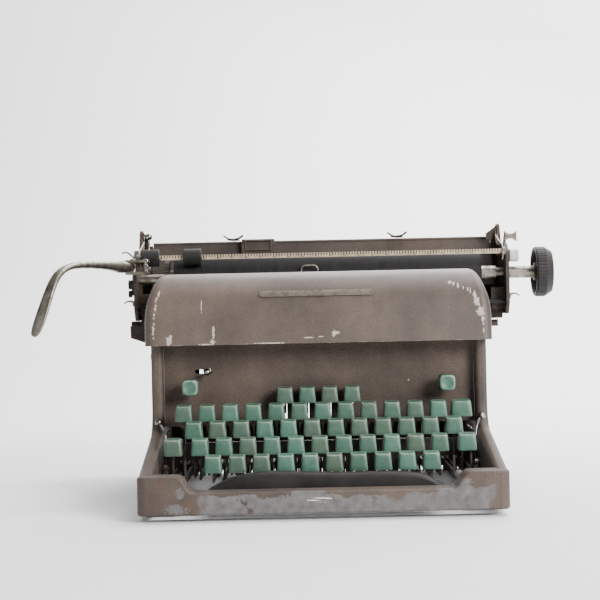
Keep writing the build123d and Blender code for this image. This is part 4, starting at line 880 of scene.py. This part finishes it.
# Ticks every tenth of an inch with plain figures, printed on the scale strip.
low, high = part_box("bail_scale")
face = (low[1] - front_y) / MM
base = low[2] / MM
seven = {
    0: "abcdef",
    1: "bc",
    2: "abged",
    3: "abgcd",
    4: "fgbc",
    5: "afgcd",
    6: "afgecd",
    7: "abc",
    8: "abcdefg",
    9: "abcdfg",
}
strokes = {
    "a": (0, 1.1, 0.6, 1.25),
    "g": (0, 0.55, 0.6, 0.7),
    "d": (0, 0, 0.6, 0.15),
    "f": (0, 0.6, 0.15, 1.25),
    "b": (0.45, 0.6, 0.6, 1.25),
    "e": (0, 0, 0.15, 0.65),
    "c": (0.45, 0, 0.6, 0.65),
}
# Millimetres: spacing of the ticks, where figure 0 falls and the top of the ticks.
TENTH_INCH = 2.54
SCALE_ZERO = -152
TICK_TOP = 4.1
INK_SINK, INK_STAND = 0.06, 0.1
marks, figures = bmesh.new(), bmesh.new()
for start, end in ((-140, -120.4), (-102.4, 166.6)):
    i = math.ceil((start - SCALE_ZERO) / TENTH_INCH)
    while SCALE_ZERO + i * TENTH_INCH < end:
        x = SCALE_ZERO + i * TENTH_INCH
        # Drawn three times their real width, because finer ticks would not show.
        tall = 3.2 if i % 5 == 0 else 2.3
        low_end = (x - 0.45, face - INK_SINK, base + TICK_TOP - tall)
        bar(marks, low_end, (x + 0.45, face + INK_STAND, base + TICK_TOP))
        if i % 5 == 0 and x + 1 < end:
            for k, digit in enumerate(str(i)):
                for stroke in seven[int(digit)]:
                    x0, z0, x1, z1 = strokes[stroke]
                    left = x + 0.35 + 0.85 * k
                    bar(
                        figures,
                        (left + x0, face - INK_SINK, base + 0.4 + z0),
                        (left + x1, face + INK_STAND, base + 0.4 + z1),
                    )
        i += 1
piece("scale_ticks", marks, ink, "bail")
piece("scale_figures", figures, red_ink, "bail")

# Bent spring strips that lead from the bail's ends back past its pivots.
for name, x in (("left", -159), ("right", 169.2)):
    bm = bmesh.new()
    side = 1 if x > 0 else -1
    path = [
        (x, 229, 199),
        (x + side * 0.6, 228.4, 206),
        (x + side * 0.9, 236, 213),
        (x + side * 1.4, 256, 216),
        (x + side * 1.2, 281, 223),
    ]
    wire(bm, [spot(*p) for p in path], 0.75 * MM, steps=8)
    piece("bail_spring_" + name, bm, nickel, "bail", smooth=70)
# Rolled pale edge on the inside of each pointed lug.
for name, x, side in (("left", -162.4, 1), ("right", 172.9, -1)):
    bm = bmesh.new()
    path = [
        (x + side * 0.4, 285, 214),
        (x + side * 1.3, 290, 221),
        (x + side * 0.9, 294, 228),
        (x + side * 0.3, 297, 232.6),
    ]
    wire(bm, [spot(*p) for p in path], 0.8 * MM)
    piece("lug_edge_" + name, bm, nickel, "carriage", smooth=70)

# ---- Paper table ----
# A pressed sheet behind the platen, with its edges folded for stiffness.
# Wire clips and springs are hooked into lugs along those edges.

# Spring clips: an upturned strip on a small foot.
for i, x in enumerate((-77, 79)):
    bm = bmesh.new()
    path = [
        (x - 9.3, 301, 228.6),
        (x - 5, 301, 225.9),
        (x, 301, 225),
        (x + 5, 301, 225.9),
        (x + 9.3, 301, 228.6),
    ]
    wire(bm, [spot(*p) for p in path], 2.4 * MM, flat=0.42, steps=8)
    wire(
        bm,
        [spot(x - 6, 301.6, 224.6), spot(x, 301.6, 223.9), spot(x + 6, 301.6, 224.2)],
        1.6 * MM,
        flat=0.4,
    )
    replaced = ["page_clips"] if i == 0 else ()
    piece("page_clip_%d" % (i + 1), bm, nickel, "carriage", replaced, smooth=70)

# Pressed rim that stiffens the side guide's face.
bm = bmesh.new()
corners = [(-66, 214), (-66, 223), (-41.5, 223), (-41.5, 214), (-66, 214)]
for (x0, z0), (x1, z1) in zip(corners, corners[1:]):
    ends = [spot(x, 290.9 + 0.4 * (z - 199.5), z) for x, z in ((x0, z0), (x1, z1))]
    wire(bm, ends, 0.8 * MM)
piece("guide_rim", bm, table_paint, "paper_guide", smooth=60)

# ---- Stage, light and camera ----
# Pale paper laid under the machine and swept up behind it, with soft round lamps around it.
# The camera stands level in front, a little to the left of the middle.

stage_material, tree, shader, at = new_material("pale_studio_paper")
shader.inputs["Base Color"].default_value = linear("#f2f2f2")
shader.inputs["Roughness"].default_value = 0.75
bm = bmesh.new()
profile = [(-3.0, 0.0), (1.0, 0.0)]
profile += [
    (1.0 + 0.9 * math.sin(a * math.pi / 32), 0.9 - 0.9 * math.cos(a * math.pi / 32)) for a in range(1, 17)
]
profile += [(1.9, 4.0)]
rows = [[bm.verts.new((x, y, z - 0.0002)) for x in (-5.0, 5.0)] for y, z in profile]
for low, high in zip(rows, rows[1:]):
    bm.faces.new((low[0], low[1], high[1], high[0]))
data = bpy.data.meshes.new("studio_floor")
bm.to_mesh(data)
bm.free()
data.shade_smooth()
data.materials.append(stage_material)
floor = bpy.data.objects.new("studio_floor", data)
bpy.context.scene.collection.objects.link(floor)

world = bpy.data.worlds.new("studio_fill")
bpy.context.scene.world = world
world.use_nodes = True
world.node_tree.nodes["Background"].inputs[0].default_value = linear("#f4f5f7")
world.node_tree.nodes["Background"].inputs[1].default_value = 0.42

for name, place, size, power, aim in (
    ("key_softbox", (1.35, -1.55, 0.95), 1.0, 92, (0, 0, 0.1)),
    ("top_softbox", (0.35, 0.1, 1.9), 1.5, 24, (0, 0, 0.1)),
    ("left_fill", (-1.5, -1.2, 0.8), 1.2, 3, (0, 0, 0.1)),
    ("rear_softbox", (0.3, 1.35, 1.3), 1.2, 24, (0, 0.0, 0)),
    ("backdrop_light", (0.9, 0.5, 1.6), 1.2, 75, (0.5, 1.9, 0.8)),
):
    lamp = bpy.data.lights.new(name, "AREA")
    lamp.shape = "DISK"
    lamp.size = size
    lamp.energy = power
    light = bpy.data.objects.new(name, lamp)
    light.location = place
    light.rotation_euler = (Vector(aim) - Vector(place)).to_track_quat("-Z", "Y").to_euler()
    bpy.context.scene.collection.objects.link(light)

lens = bpy.data.cameras.new("camera")
lens.lens = 89.4
lens.sensor_width = 36
camera = bpy.data.objects.new("camera", lens)
camera.location = (body_x - 14.7 * MM, front_y - 1120 * MM, 165.8 * MM)
camera.rotation_euler = (
    Matrix.Rotation(math.radians(90), 3, "X") @ Matrix.Rotation(math.radians(-1.2), 3, "Z")
).to_euler()
bpy.context.scene.collection.objects.link(camera)
bpy.context.scene.camera = camera
